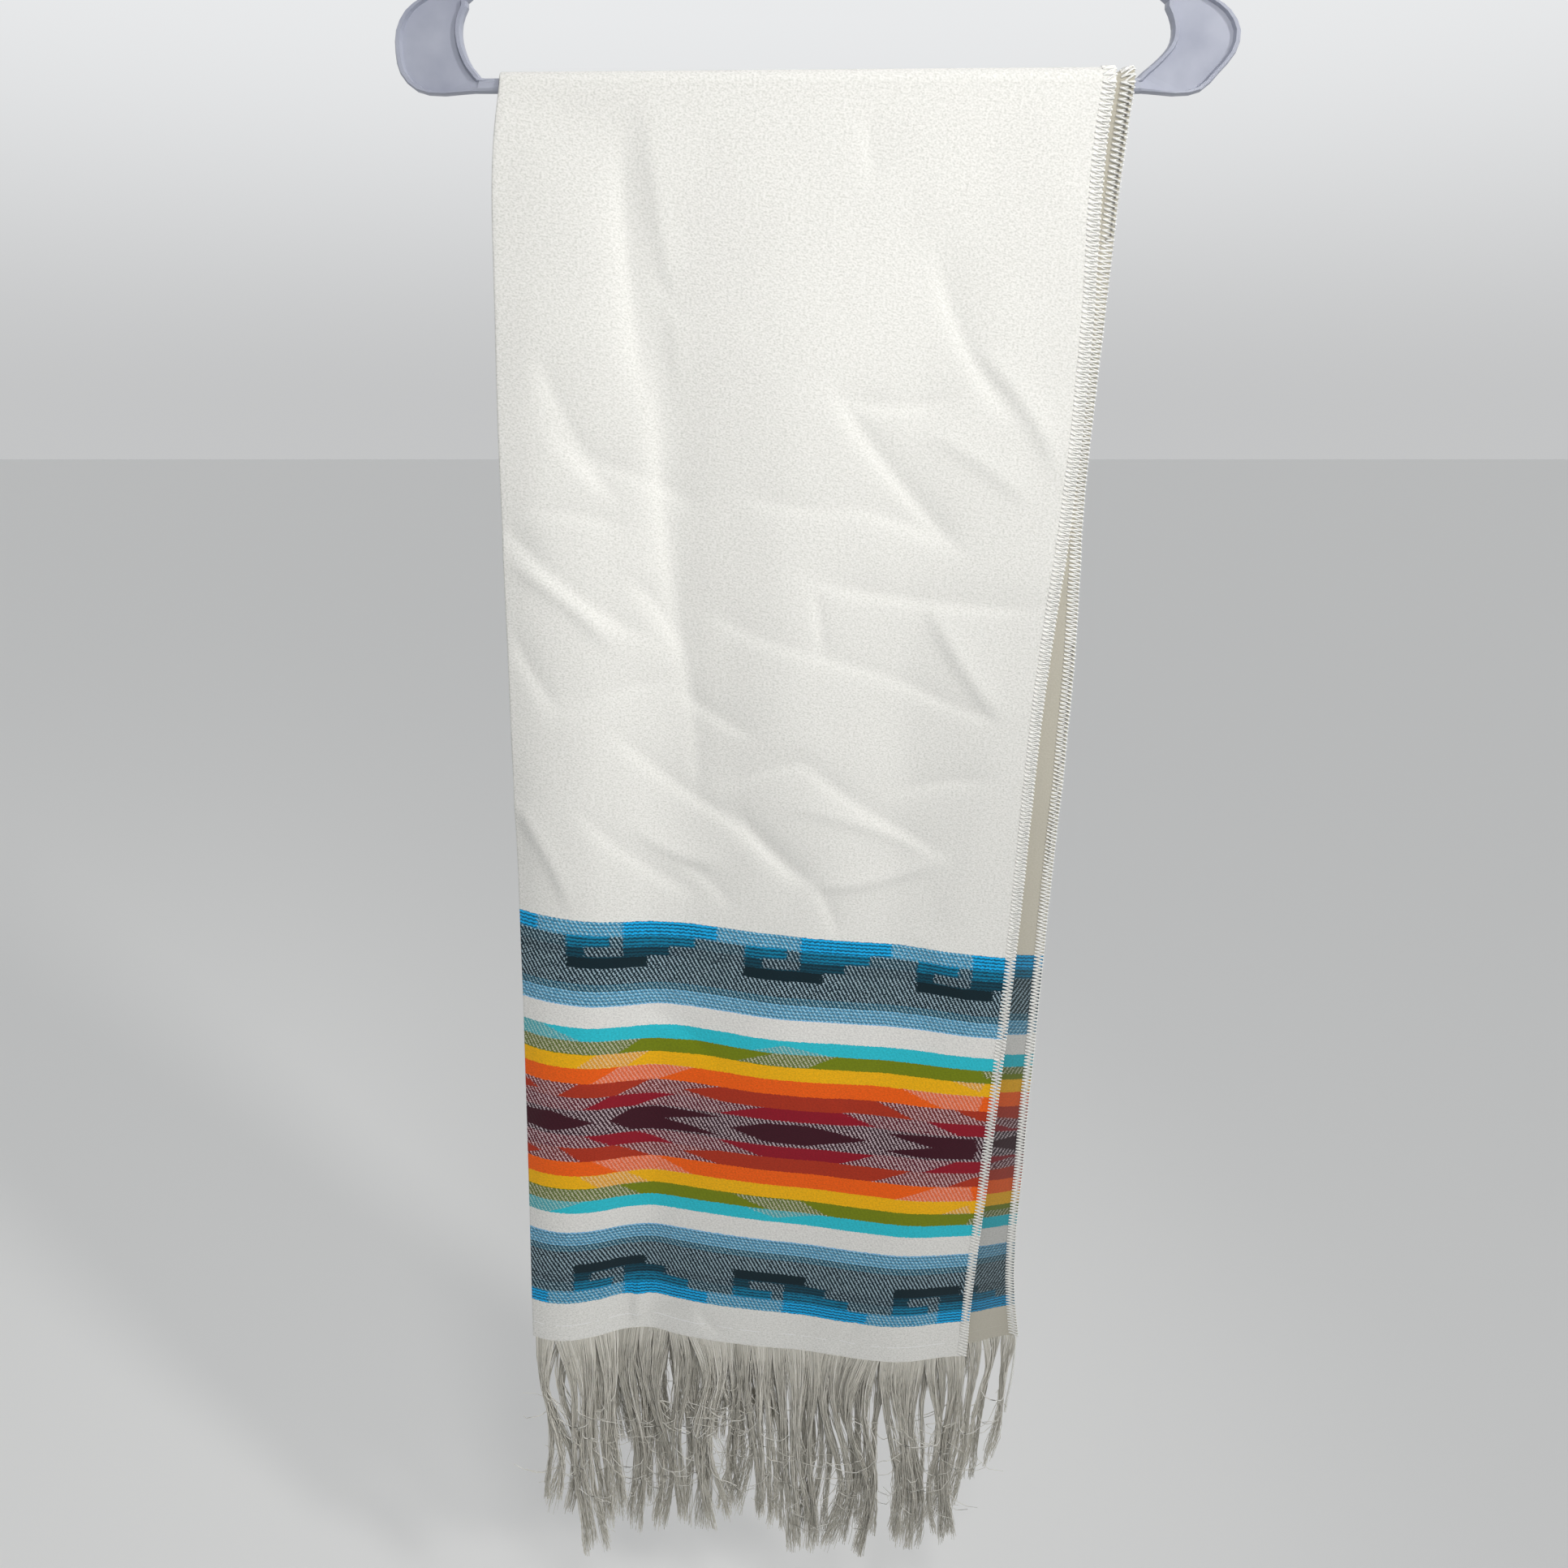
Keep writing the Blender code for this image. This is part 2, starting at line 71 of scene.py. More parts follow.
# Columns: metres below the bar, x of the fold, x of the outer edge, x of the inner edge
FRONT_EDGES = (
    (0.000, -0.1566, 0.1545, 0.1640),
    (0.020, -0.1603, 0.1528, 0.1626),
    (0.113, -0.1668, 0.1535, 0.1594),
    (0.198, -0.1694, 0.1512, 0.1566),
    (0.302, -0.1715, 0.1436, 0.1592),
    (0.490, -0.1755, 0.1368, 0.1562),
    (0.650, -0.1812, 0.1278, 0.1534),
    (0.770, -0.1856, 0.1204, 0.1548),
    (0.810, -0.1870, 0.1191, 0.1602),
)
BACK_EDGES = (
    (0.000, -0.1566, 0.1545, 0.1640),
    (0.020, -0.1572, 0.1532, 0.1600),
    (0.200, -0.1580, 0.1470, 0.1530),
    (0.450, -0.1600, 0.1370, 0.1430),
    (0.730, -0.1610, 0.1290, 0.1360),
)

# Columns: metres below the bar, then pairs of share of the width and millimetres
FRONT_WAVES = (
    (0.000, ((0, 0), (1.2, 0))),
    (0.220, ((0, -4), (0.06, -7), (0.14, -6.5), (0.24, -1), (0.30, 3), (0.38, 1.5), (0.5, 0),
             (0.62, 2.5), (0.75, 6), (0.86, 7), (1, 7), (1.2, 8))),
    (0.470, ((0, -9), (0.03, -12.5), (0.08, -14.9), (0.14, -14), (0.20, -7.3), (0.26, 0.8),
             (0.32, 4.5), (0.38, 5), (0.5, 4.1), (0.56, 5.6), (0.62, 8.6), (0.68, 12.5),
             (0.74, 16.5), (0.80, 17.5), (0.9, 16.6), (1, 18.3), (1.2, 22))),
    (0.755, ((0, -11), (0.03, -13), (0.08, -11.8), (0.14, -4.2), (0.20, 6), (0.26, 10),
             (0.32, 7.2), (0.38, 4.8), (0.5, 4.4), (0.62, 5.7), (0.68, 4.5), (0.76, 3.7),
             (0.82, 5), (0.86, 7.5), (0.92, 13), (1, 19.5), (1.2, 25))),
)
BACK_WAVES = (
    (0.000, ((0, 0), (1.2, 0))),
    (0.250, ((0, 2), (0.2, 4), (0.45, 2.5), (0.7, 9), (1, 14), (1.2, 15))),
    (0.470, ((0, 5), (0.15, 4), (0.3, 9), (0.48, 6), (0.66, 16), (0.82, 17), (1, 25),
             (1.2, 26))),
    (0.700, ((0, 8), (0.12, 4), (0.28, 13), (0.46, 6), (0.62, 17), (0.80, 16), (1, 27),
             (1.2, 28))),
)

# The sheets
SHEET = 0.6 * MM  # the cloth's own thickness
SHARP_ANGLE = math.radians(60)
INNER_COLUMNS = 40
TURN_COLUMNS = 6
WEFT_SPAN = 340.0  # the woven figures are laid out over this distance, in mm

# Columns: stretch, its piece, rows, the outer layer's columns, whether the grid's normal is the
# good side (1) or not (-1), where its figures start, and whether they run on (1) or back (-1)
SHEETS = (
    ("front", "front_cloth", 292, 114, 1, 0.0, 1),
    ("over_bar", "cloth_over_bar", 22, 114, -1, 0.0, 1),
    ("back", "back_cloth", 230, 92, -1, WEFT_SPAN * MM, -1),
)

# Creases in the front, listed one by one
# Columns: where it starts and ends (mm from the fold, mm below the bar), how far its middle
# bows sideways, half its width and its depth, all in mm. A ridge has a negative depth.
FRONT_CREASES = (
    (234, 84, 280, 159, -5, 7, 0.9),
    (262, 130, 307, 187, 4, 6, -0.8),
    (185, 151, 257, 233, -3, 6, 1.0),
    (193, 153, 246, 152, -4, 5, 0.7),
    (239, 172, 291, 205, 2, 6, -0.6),
    (195, 210, 249, 230, 2, 7, 0.7),
    (174, 251, 304, 268, -4, 7, 0.8),
    (175, 258, 180, 292, 1, 3, 0.7),
    (245, 272, 287, 333, -2, 6, -0.9),
    (168, 292, 248, 320, 2, 6, 0.6),
    (240, 318, 288, 336, -1, 5, 0.5),
    (172, 361, 260, 423, -3, 6, 1.0),
    (227, 382, 284, 374, 2, 6, 0.7),
    (181, 441, 260, 427, -5, 6, -0.9),
    (130, 389, 181, 441, -3, 6, 1.0),
    (181, 441, 195, 472, 1, 4, 0.8),
    (170, 389, 249, 420, 2, 5, -0.6),
    (24, 134, 56, 193, -3, 8, 0.9),
    (3, 222, 76, 282, -4, 6, 1.0),
    (7, 242, 58, 285, 3, 6, -0.9),
    (17, 211, 66, 220, 2, 6, 0.6),
    (72, 251, 99, 290, 2, 6, 0.9),
    (30, 327, 85, 309, 3, 7, 0.8),
    (62, 340, 122, 392, -3, 6, 0.9),
    (118, 388, 168, 437, 2, 6, 0.8),
    (123, 376, 172, 360, 3, 6, 0.8),
    (-2, 378, 30, 440, 3, 6, -1.0),
    (42, 389, 103, 443, -3, 6, 0.9),
    (72, 400, 118, 426, -4, 5, -0.7),
    (100, 424, 128, 452, 2, 5, 0.6),
    (29, 17, 52, 3, 2, 5, 0.4),
    (66, 30, 80, 150, -2, 13, 1.5),
    (76, 15, 99, 150, 3, 10, -0.8),
    (86, 150, 100, 292, -3, 11, 1.2),
    (99, 290, 108, 380, 2, 9, 0.8),
    (150, 470, 176, 520, 3, 9, 0.8),
    (250, 480, 292, 540, 3, 10, -0.9),
    (70, 520, 118, 560, 4, 9, 0.8),
    (200, 590, 246, 640, -3, 9, 0.8),
    (101, 754, 64, 769, 2, 5, 0.9),
    (112, 758, 128, 778, -2, 4, 0.8),
    (223, 766, 207, 789, 2, 4, 0.8),
    (69, 735, 69, 772, 0, 5, -1.2),
    (187, 14, 196, 45, 1, 5, 0.5),
    (86, 91, 97, 112, 1, 5, 0.6),
    (116, 270, 170, 292, -2, 6, 0.5),
    (134, 204, 195, 212, -2, 6, 0.5),
    (48, 184, 106, 208, 2, 6, 0.6),
    (27, 163, 64, 205, -2, 5, 0.6),
    (5, 282, 27, 322, -2, 5, 0.7),
    (99, 316, 140, 342, -2, 5, 0.7),
)

CREASE_SCALE = 2.2  # how much deeper creases are than their rows say
CREASE_EDGE = 2.2  # how much steeper they are, on their sharp side
CREASE_TAIL = 0.7  # the same on its long side
CREASE_ROUND = 0.25  # how rounded its ridge is
CREASE_REACH = 0.2  # how far one runs on past its ends, as a share of its length
CREASE_FADE = 0.45  # the share of its length over which it comes and goes

# Similar creases behind
BACK_CREASES = (
    (40, 60, 96, 128, 4, 7, 0.9),
    (90, 118, 150, 160, -3, 7, -0.8),
    (210, 70, 262, 150, -4, 7, 0.9),
    (255, 150, 300, 190, 2, 6, -0.7),
    (12, 170, 74, 232, 3, 6, 0.9),
    (120, 205, 186, 232, 3, 7, 0.8),
    (180, 228, 262, 300, -3, 7, 1.0),
    (60, 262, 128, 330, 3, 7, -0.9),
    (14, 300, 60, 372, -3, 6, 0.8),
    (190, 310, 262, 352, 4, 6, 0.8),
    (130, 338, 178, 392, 2, 6, 0.9),
    (232, 372, 290, 396, -2, 6, -0.7),
    (70, 470, 118, 530, 3, 9, 0.8),
    (190, 480, 240, 540, -3, 9, 0.9),
    (120, 600, 170, 640, 3, 9, 0.8),
    (90, 690, 120, 715, 2, 5, 0.8),
    (220, 688, 205, 712, 2, 5, 0.7),
)

# Soft unevenness. Columns: size of one hump, its height, in mm
HUMPS = ((90, 1.3), (34, 0.6), (13, 0.15))
HUMP_START = 7.3  # where in the noise the fold lies
HUMP_STRETCH = 0.8  # under 1, humps are longer down the cloth than across it
NOISE_TABLE = 128

# Columns: edges, waves, creases, seed of its unevenness
SIDES = {
    "front": (FRONT_EDGES, FRONT_WAVES, FRONT_CREASES, 11),
    "back": (BACK_EDGES, BACK_WAVES, BACK_CREASES, 23),
}

EDGE_PUCKER = 0.5 * MM  # how the stitching draws the long edges
PUCKER_LENGTH = 15 * MM
PUCKER_REACH = 16 * MM
PUCKER_ASIDE = 0.6  # how far it also draws them aside, as a share of that
PUCKER_ROW = 3.5  # the row of the noise that an edge follows
PUCKER_SEEDS = {"outer": 40, "inner": 60}
FADE_AT_BAR = 0.022  # creases start this far below the bar
OVER_BAR_SHIFT = 0.1 * MM  # how far aside the cloth lies on top of the bar

# The band of stripes, in mm. It reads the same from its top and its bottom edge inward
HEM_STRIP = 30.5
INNER_HEM_STRIP = 27.5
BAND_WIDTH = 285.4
BAND_MIDDLE = BAND_WIDTH / 2

# The overlocked edges
STITCH_PITCH = 2.5 * MM
STITCH_WIDTH = 6.4 * MM
THREAD_R = 0.6 * MM

# One stitch's upper and lower leg. Columns: distance in from the edge as a share of the width,
# place along the edge as a share of the pitch, height over the cloth in thread radii
LEGS = (
    ((1.0, -0.6, 0.1), (0.74, -0.35, 0.5), (0.4, 0.0, 0.7), (0.08, 0.33, 0.6), (-0.06, 0.46, 0.0)),
    ((-0.06, -0.54, 0.0), (0.08, -0.53, 0.4), (0.45, -0.55, 0.4), (0.8, -0.58, 0.3),
     (1.0, -0.6, 0.1)),
)
LAYER_WIDTHS = {"outer": 0.305, "inner": 0.325}  # from the fold to the edge, over much of it
NORMAL_STEP = 0.002  # a small share across or down

# The loose chain of thread at the inner layer's corner
TAIL_LENGTH = 0.072
TAIL_ACROSS = 0.995
TAIL_START = 1.0 * MM
TAIL_POINTS = 46
TAIL_TURNS = 12
TAIL_R = 0.55 * MM
# Columns: how far it sways in mm, how fast, how far it drifts in mm
TAIL_SWAYS = ((1.2, 5, -2.5), (0.8, 7, -0.6))

# A tube's rings start square to its path and to this direction, or at Y where those are alike
TUBE_ASIDE = (1.0, 0.02, 0.0)
TUBE_UPRIGHT = (0.0, 1.0, 0.0)
NEARLY_ALONG = 0.2

# The fringe: the solids' clumps, each made of loose warp yarns
YARN_R = 0.28 * MM
YARN_POINTS = 15
YARN_ROOT = 1.0 * MM  # how far a yarn starts inside the hem
YARN_RANGE = (0.75, 1.25)  # how much thinner or thicker single yarns are
BRIGHT_THICKER = 0.5
YARN_TAPER = 0.45
HEM_POINTS = 240
ROOT_UNEVEN = 0.8  # how far a yarn leaves its even place along the hem, in spacings
ROOT_RANGE = (0.002, 0.998)
STRAND_SHARE = 0.026  # a strand's share of the hem's width
STRAND_MIX = 0.3  # how far yarns mix with the next strand's, in strands
STRAND_DRAW = 0.55  # how far yarns are drawn to their strand's middle
MOST_STRANDS = 16
MOST_CLUMPS = 32
CLUMP_WAIST = 0.66  # a clump's width below its root, as a share of it
WAIST_SPREAD = 0.09
WAIST_RANGE = (0.45, 0.85)
CLUMP_DEPTH = 1.6 * MM
# From here on, a name with BY is the share of a yarn's length where something is complete
CLUMP_DEEP_BY = 0.4
SWING_BY = 1.1
# Columns: share of the length where yarns are gathered, where they loosen again, how much
STRAND_GATHER = (0.35, 0.7, 0.35)
CLUMP_GATHER = (0.45, 0.75, 0.3)

# Columns: what sways together, along which axis, how far in mm, how many half waves
SWAYS = (("clump", "x", 2.2, 2.3), ("strand", "x", 1.5, 1.6), ("strand", "x", 1.0, 3.1),
         ("strand", "y", 1.2, 1.4))
# Columns: along which axis a yarn crinkles, how far in mm, how many waves
CRINKLES = (("x", 0.3, 6), ("x", 0.6, 2.4), ("y", 0.3, 5), ("y", 0.8, 2.1))
CRINKLE_PACES = (0.8, 1.25)
CRINKLE_BY = 0.18
CRINKLE_SIZE = (0.45, 1.1)  # at the hem, and how much it grows down the yarn

LONGEST_YARN = 1.045
STRAND_UNEVEN = 0.035
YARN_UNEVEN = 0.025
SHORT_SHARE = 0.12
SHORTER = (0.05, 0.3)
STRAY_SHARE = 0.11
STRAY_LEAVES = (0.3, 0.85)
STRAY_BENDS = (5, 17)  # mm
STRAY_TURNS = (0.9, 3.6)
STRAY_DEPTH = 0.35
YARN_TONE = 0.42
TONE_SPREAD = 0.17
STRAND_TONE = 0.1
STRAY_BRIGHTER = 0.45

# Columns: side, layer, yarns, seed, then its clumps from the fold to the open edge: the share of
# the hem's width where each one ends, its length and how far its tip swings, in mm
FRINGES = (
    ("front", "outer", 1480, 3,
     ((0.045, 134, -1), (0.13, 184, 5), (0.18, 158, 1), (0.23, 182, 0), (0.295, 178, 1),
      (0.34, 168, -3), (0.43, 164, 0), (0.467, 140, -2), (0.537, 152, 4), (0.65, 180, 4),
      (0.79, 174, 2), (0.9, 167, 7), (1, 168, 3))),
    ("front", "inner", 1180, 5,
     ((0.08, 150, 0), (0.16, 170, 2), (0.27, 160, -2), (0.36, 174, 1), (0.45, 158, -1),
      (0.52, 168, 2), (0.62, 172, -2), (0.72, 160, 1), (0.82, 170, 0), (0.92, 158, -6),
      (0.965, 126, -13), (1, 118, -9))),
    ("back", "inner", 860, 7,
     ((0.12, 160, 1), (0.25, 172, -2), (0.36, 158, 2), (0.52, 174, -1), (0.64, 164, 2),
      (0.8, 170, -2), (0.9, 152, 1), (1, 166, -3))),
    ("back", "outer", 1160, 9,
     ((0.09, 148, 2), (0.2, 176, -1), (0.3, 160, 3), (0.42, 178, -2), (0.52, 166, 1),
      (0.66, 174, 2), (0.76, 156, -3), (0.9, 172, 1), (1, 160, -3))),
)

# The camera and the room
IMAGE_SIDE = 1932
FOCAL_PIXELS = 1451.0
SENSOR = 36.0
CAMERA_PLACE = (-0.0127, -0.6794, BAR_Z - 0.1625)
CAMERA_PITCH = math.radians(17.2)
CAMERA_CLIP = (0.01, 200)
FLOOR_Z = -1.32
FLOOR_SIZE = 60.0
FLOOR_COLOUR = (0.88, 0.88, 0.87, 1.0)
WORLD_HORIZON = (0.55, 0.555, 0.56, 1.0)
WORLD_ABOVE = (0.82, 0.83, 0.84, 1.0)
WORLD_BEFORE = (0.25, 0.255, 0.26, 1.0)
WORLD_RISE = (0.0, 0.3)  # from horizon to above, along Z
WORLD_TURN = (-0.3, 0.3)  # from before the shawl to behind it, along Y

# Columns: name, place, what it points at, size in metres, power in watts, how wide it
# spreads in degrees, colour
LAMPS = (
    ("key", (1.7, -1.35, 0.55), (0, 0, -0.38), 0.3, 2.1, 50, (1.0, 0.985, 0.96)),
    ("top", (0.15, -0.75, 0.1), (0, 0, -0.4), 0.22, 3.05, 180, (1.0, 0.99, 0.98)),
)


def linear(red, green, blue):
    """A colour given as 0 to 255 for each channel, in the renderer's own linear values."""
    def channel(value):
        value /= 255
        return value / 12.92 if value <= 0.04045 else ((value + 0.055) / 1.055) ** 2.4

    return (channel(red), channel(green), channel(blue), 1.0)


def read_curve(positions, values, at):
    """Reads a smooth curve through values[i] at positions[i].

    values has one number for each position, or one row with a number for every point of at.
    """
    positions = np.asarray(positions, float)
    values = np.asarray(values, float)
    slopes = np.gradient(values, positions, axis=0)
    at = np.clip(at, positions[0], positions[-1])
    i = np.clip(np.searchsorted(positions, at) - 1, 0, len(positions) - 2)
    span = positions[i + 1] - positions[i]
    t = (at - positions[i]) / span

    def pick(table, row):
        return table[row] if table.ndim == 1 else table[row, np.arange(len(row))]

    start = 1 - t * t * (3 - 2 * t)
    return (
        start * pick(values, i)
        + (1 - start) * pick(values, i + 1)
        + t * (1 - t) ** 2 * span * pick(slopes, i)
        - t * t * (1 - t) * span * pick(slopes, i + 1)
    )


def smooth_step(value):
    value = np.clip(value, 0.0, 1.0)
    return value * value * (3 - 2 * value)


def soft_noise(x, y, seed):
    """Smooth humps between -1 and 1, one for each unit of x and y."""
    table = np.random.default_rng(seed).uniform(-1, 1, (NOISE_TABLE, NOISE_TABLE))
    column = np.floor(x).astype(int)
    row = np.floor(y).astype(int)
    along = smooth_step(x - column)
    down = smooth_step(y - row)

    def corner(dx, dy):
        return table[(row + dy) % NOISE_TABLE, (column + dx) % NOISE_TABLE]

    top = corner(0, 0) * (1 - along) + corner(1, 0) * along
    bottom = corner(0, 1) * (1 - along) + corner(1, 1) * along
    return top * (1 - down) + bottom * down


def crease_depth(creases, across, fall):
    """How deep the creases are at places across and down the cloth, all in mm."""
    total = np.zeros_like(across)
    for start_x, start_y, end_x, end_y, bow, half_width, depth in creases:
        along_x = end_x - start_x
        along_y = end_y - start_y
        length = math.hypot(along_x, along_y)
        along_x /= length
        along_y /= length
        run = ((across - start_x) * along_x + (fall - start_y) * along_y) / length
        bent = bow * 4 * run * (1 - run)
        aside = (across - start_x) * along_y - (fall - start_y) * along_x - bent
        taper = smooth_step((run + CREASE_REACH) / CREASE_FADE)
        taper = taper * smooth_step((1 + CREASE_REACH - run) / CREASE_FADE)
        offset = aside / half_width
        offset = np.where(offset > 0, offset * CREASE_TAIL, offset * CREASE_EDGE)
        shape = np.exp(CREASE_ROUND - np.sqrt(offset * offset + CREASE_ROUND**2))
        total += depth * taper * shape
    return total


class Side:
    """The half of the shawl that hangs in front of the bar, or behind it."""

    def __init__(self, name):
        self.front = name == "front"
        self.edges, self.waves, self.creases, self.seed = SIDES[name]

    def edge_x(self, fall, column):
        """x of the fold (column 1), the outer edge (2) or the inner edge (3), at a fall."""
        return read_curve([row[0] for row in self.edges], [row[column] for row in self.edges], fall)

    def longest(self, layer, across):
        skew = SKEW[layer] * across
        return FRONT_FALL + skew if self.front else BACK_FALL - skew

    def wave(self, fall, share):
        falls, outlines = zip(*self.waves)
        depths = [read_curve(*zip(*pairs), share) for pairs in outlines]
        return read_curve(falls, depths, fall) * MM

    def loft(self, fall, share):
        return EDGE_LOFT * np.minimum(share, 1.0) * (1 - smooth_step(fall / LOFT_FADE))

    def layer_step(self, fall, share):
        beyond = smooth_step((share - 1) / SPREAD_REACH)
        spread = (LAYER_SPREAD + EDGE_SPREAD * beyond) * fall / FRONT_FALL
        return LAYER_STEP + spread + self.loft(fall, share) / 2

    def inner_step(self, fall, share):
        risen = smooth_step((share - 1) / RISE_REACH) * (1 - smooth_step(fall / LOFT_FADE))
        return self.layer_step(fall, share) * (1 - risen)

    def outer_y(self, fall, share):
        lift = self.loft(fall, share)
        if self.front:
            return -OUTER_R - lift + self.wave(fall, share)
        return INNER_R + lift / 2 + self.wave(fall, share) + self.layer_step(fall, share)

    def crumple(self, across, fall):
        """Creases and humps in metres, behind (+) or in front of (-) the plain form."""
        x = across / MM
        y = fall / MM
        depth = CREASE_SCALE * crease_depth(self.creases, x, y)
        for k, (size, height) in enumerate(HUMPS):
            hump = soft_noise(x / size + HUMP_START, y / size * HUMP_STRETCH, self.seed + k)
            depth += height * hump
        toward = 1 if self.front else -1
        return toward * depth * MM * smooth_step(fall / FADE_AT_BAR)

    def pucker(self, layer, fall, from_edge):
        """How the stitching draws the cloth near a long edge."""
        seed = self.seed + PUCKER_SEEDS[layer]
        waves = soft_noise(fall / PUCKER_LENGTH, fall * 0 + PUCKER_ROW, seed)
        near = smooth_step(1 - from_edge / PUCKER_REACH) * smooth_step(fall / FADE_AT_BAR)
        return EDGE_PUCKER * waves * near

    def point(self, layer, across, down):
        """Points in the middle of a layer, for shares across and down: (n, 3)."""
        fall = self.longest(layer, across) * down
        fold = self.edge_x(fall, 1)
        outer_width = self.edge_x(fall, 2) - fold
        width = outer_width if layer == "outer" else self.edge_x(fall, 3) - fold
        turn_r = self.layer_step(fall, fall * 0) / 2
        x = fold + turn_r + (width - turn_r) * across
        share = np.maximum((x - fold) / outer_width, 0.0)
        y = self.outer_y(fall, share)
        if layer == "inner":
            step = self.inner_step(fall, share)
            y = y + step if self.front else y - step
        from_edge = (1 - across) * width
        drawn = self.pucker(layer, fall, from_edge)
        y = y + self.crumple(x - fold, fall) + drawn
        return np.stack((x + drawn * PUCKER_ASIDE, y, BAR_Z - fall), axis=-1)

    def above_hem(self, layer, across, down):
        """Height above the hem, as the stripes are woven."""
        height = self.longest(layer, across) * (1 - down)
        if layer == "inner":
            height = height + (HEM_STRIP - INNER_HEM_STRIP) * MM * across
        return height


class OverBar:
    """The stretch that lies on the bar. down runs from its front to its back."""

    def __init__(self):
        self.side = Side("front")

    def point(self, layer, across, down):
        start = self.side.point(layer, across, down * 0)
        radius = -start[:, 1]
        angle = math.pi * down
        return np.stack((
            start[:, 0] + OVER_BAR_SHIFT * np.sin(angle),
            -radius * np.cos(angle),
            BAR_Z + radius * np.sin(angle),
        ), axis=-1)

    def longest(self, layer, across):
        return OUTER_R * math.pi

    def above_hem(self, layer, across, down):
        return self.side.longest(layer, across) + self.longest(layer, across) * down


def fold_grid(surface, count, columns):
    """The folded sheet's middle: outer edge, fold, inner edge, for each share down.

    Returns points (rows, columns, 3), distance from the fold and height above the hem.
    """
    outer_across = np.linspace(1, 0, columns + 1)
    inner_across = np.linspace(0, 1, INNER_COLUMNS + 1)
    rows = []
    for down in np.linspace(0, 1, count + 1):
        outer = surface.point("outer", outer_across, outer_across * 0 + down)
        inner = surface.point("inner", inner_across, inner_across * 0 + down)
        centre = (outer[-1] + inner[0]) / 2
        toward_outer = outer[-1] - centre
        turn_r = np.linalg.norm(toward_outer)
        turn = []
        for i in range(1, TURN_COLUMNS):
            angle = math.pi * i / TURN_COLUMNS
            out = np.array((-turn_r * math.sin(angle), 0, 0))
            turn.append(centre + toward_outer * math.cos(angle) + out)
        above = np.concatenate((
            surface.above_hem("outer", outer_across, down),
            np.full(TURN_COLUMNS - 1, float(surface.above_hem("outer", 0.0, down))),
            surface.above_hem("inner", inner_across, down),
        ))
        rows.append((np.vstack((outer, turn, inner)), above))
    points, above = (np.array(column) for column in zip(*rows))
    steps = np.linalg.norm(np.diff(points, axis=1), axis=2)
    run = np.concatenate((np.zeros((len(points), 1)), np.cumsum(steps, axis=1)), axis=1)
    middle = columns + TURN_COLUMNS // 2
    from_fold = np.abs(run - run[:, middle:middle + 1])
    return points, from_fold, above


def add_object(name, data):
    thing = bpy.data.objects.new(name, data)
    bpy.context.scene.collection.objects.link(thing)
    return thing


def add_piece(name, points, faces, material, attributes=()):
    """Adds one mesh, with a number at every point for each named attribute."""
    mesh = bpy.data.meshes.new(name)
    mesh.from_pydata(np.asarray(points).tolist(), [], np.asarray(faces).tolist())
    mesh.shade_smooth()
    for attribute, values in attributes:
        layer = mesh.attributes.new(attribute, "FLOAT", "POINT")
        layer.data.foreach_set("value", np.asarray(values, dtype=np.float32).ravel())
    mesh.materials.append(material)
    piece = add_object(name, mesh)
    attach(piece, BODY)
    return piece


def grid_faces(rows, columns):
    corner = np.arange((rows - 1) * columns).reshape(rows - 1, columns)[:, :-1]
    quads = np.stack((corner, corner + 1, corner + columns + 1, corner + columns), axis=-1)
    return quads.reshape(-1, 4)


def add_sheet(surface, material, name, rows, columns, right_side, weft_start, weft_sign):
    """A closed shell of cloth."""
    points, from_fold, above = fold_grid(surface, rows, columns)
    rows, across = points.shape[:2]
    along = np.gradient(points, axis=1)
    down = np.gradient(points, axis=0)
    normals = np.cross(along, down) * right_side
    normals /= np.linalg.norm(normals, axis=2, keepdims=True)
    good = (points + normals * SHEET / 2).reshape(-1, 3)
    wrong = (points - normals * SHEET / 2).reshape(-1, 3)
    quads = grid_faces(rows, across)
    count = rows * across
    top = np.arange(across)
    left = np.arange(rows) * across
    ring = np.concatenate((
        top, left[1:] + across - 1, top[::-1][1:] + (rows - 1) * across, left[::-1][1:],
    ))
    rim = np.stack((ring[:-1], ring[:-1] + count, ring[1:] + count, ring[1:]), axis=-1)
    faces = np.concatenate((quads, quads[:, ::-1] + count, rim))
    if right_side < 0:
        faces = faces[:, ::-1]
    weft = weft_start + weft_sign * from_fold
    attributes = (
        ("weft", np.tile(weft.ravel(), 2)),
        ("above_hem", np.tile(above.ravel(), 2)),
        ("wrong_side", np.repeat((0.0, 1.0), count)),
    )
    points = np.concatenate((good, wrong))
    sheet = add_piece(name, points, faces, material, attributes)
    sheet.data.set_sharp_from_angle(angle=SHARP_ANGLE)
    return sheet


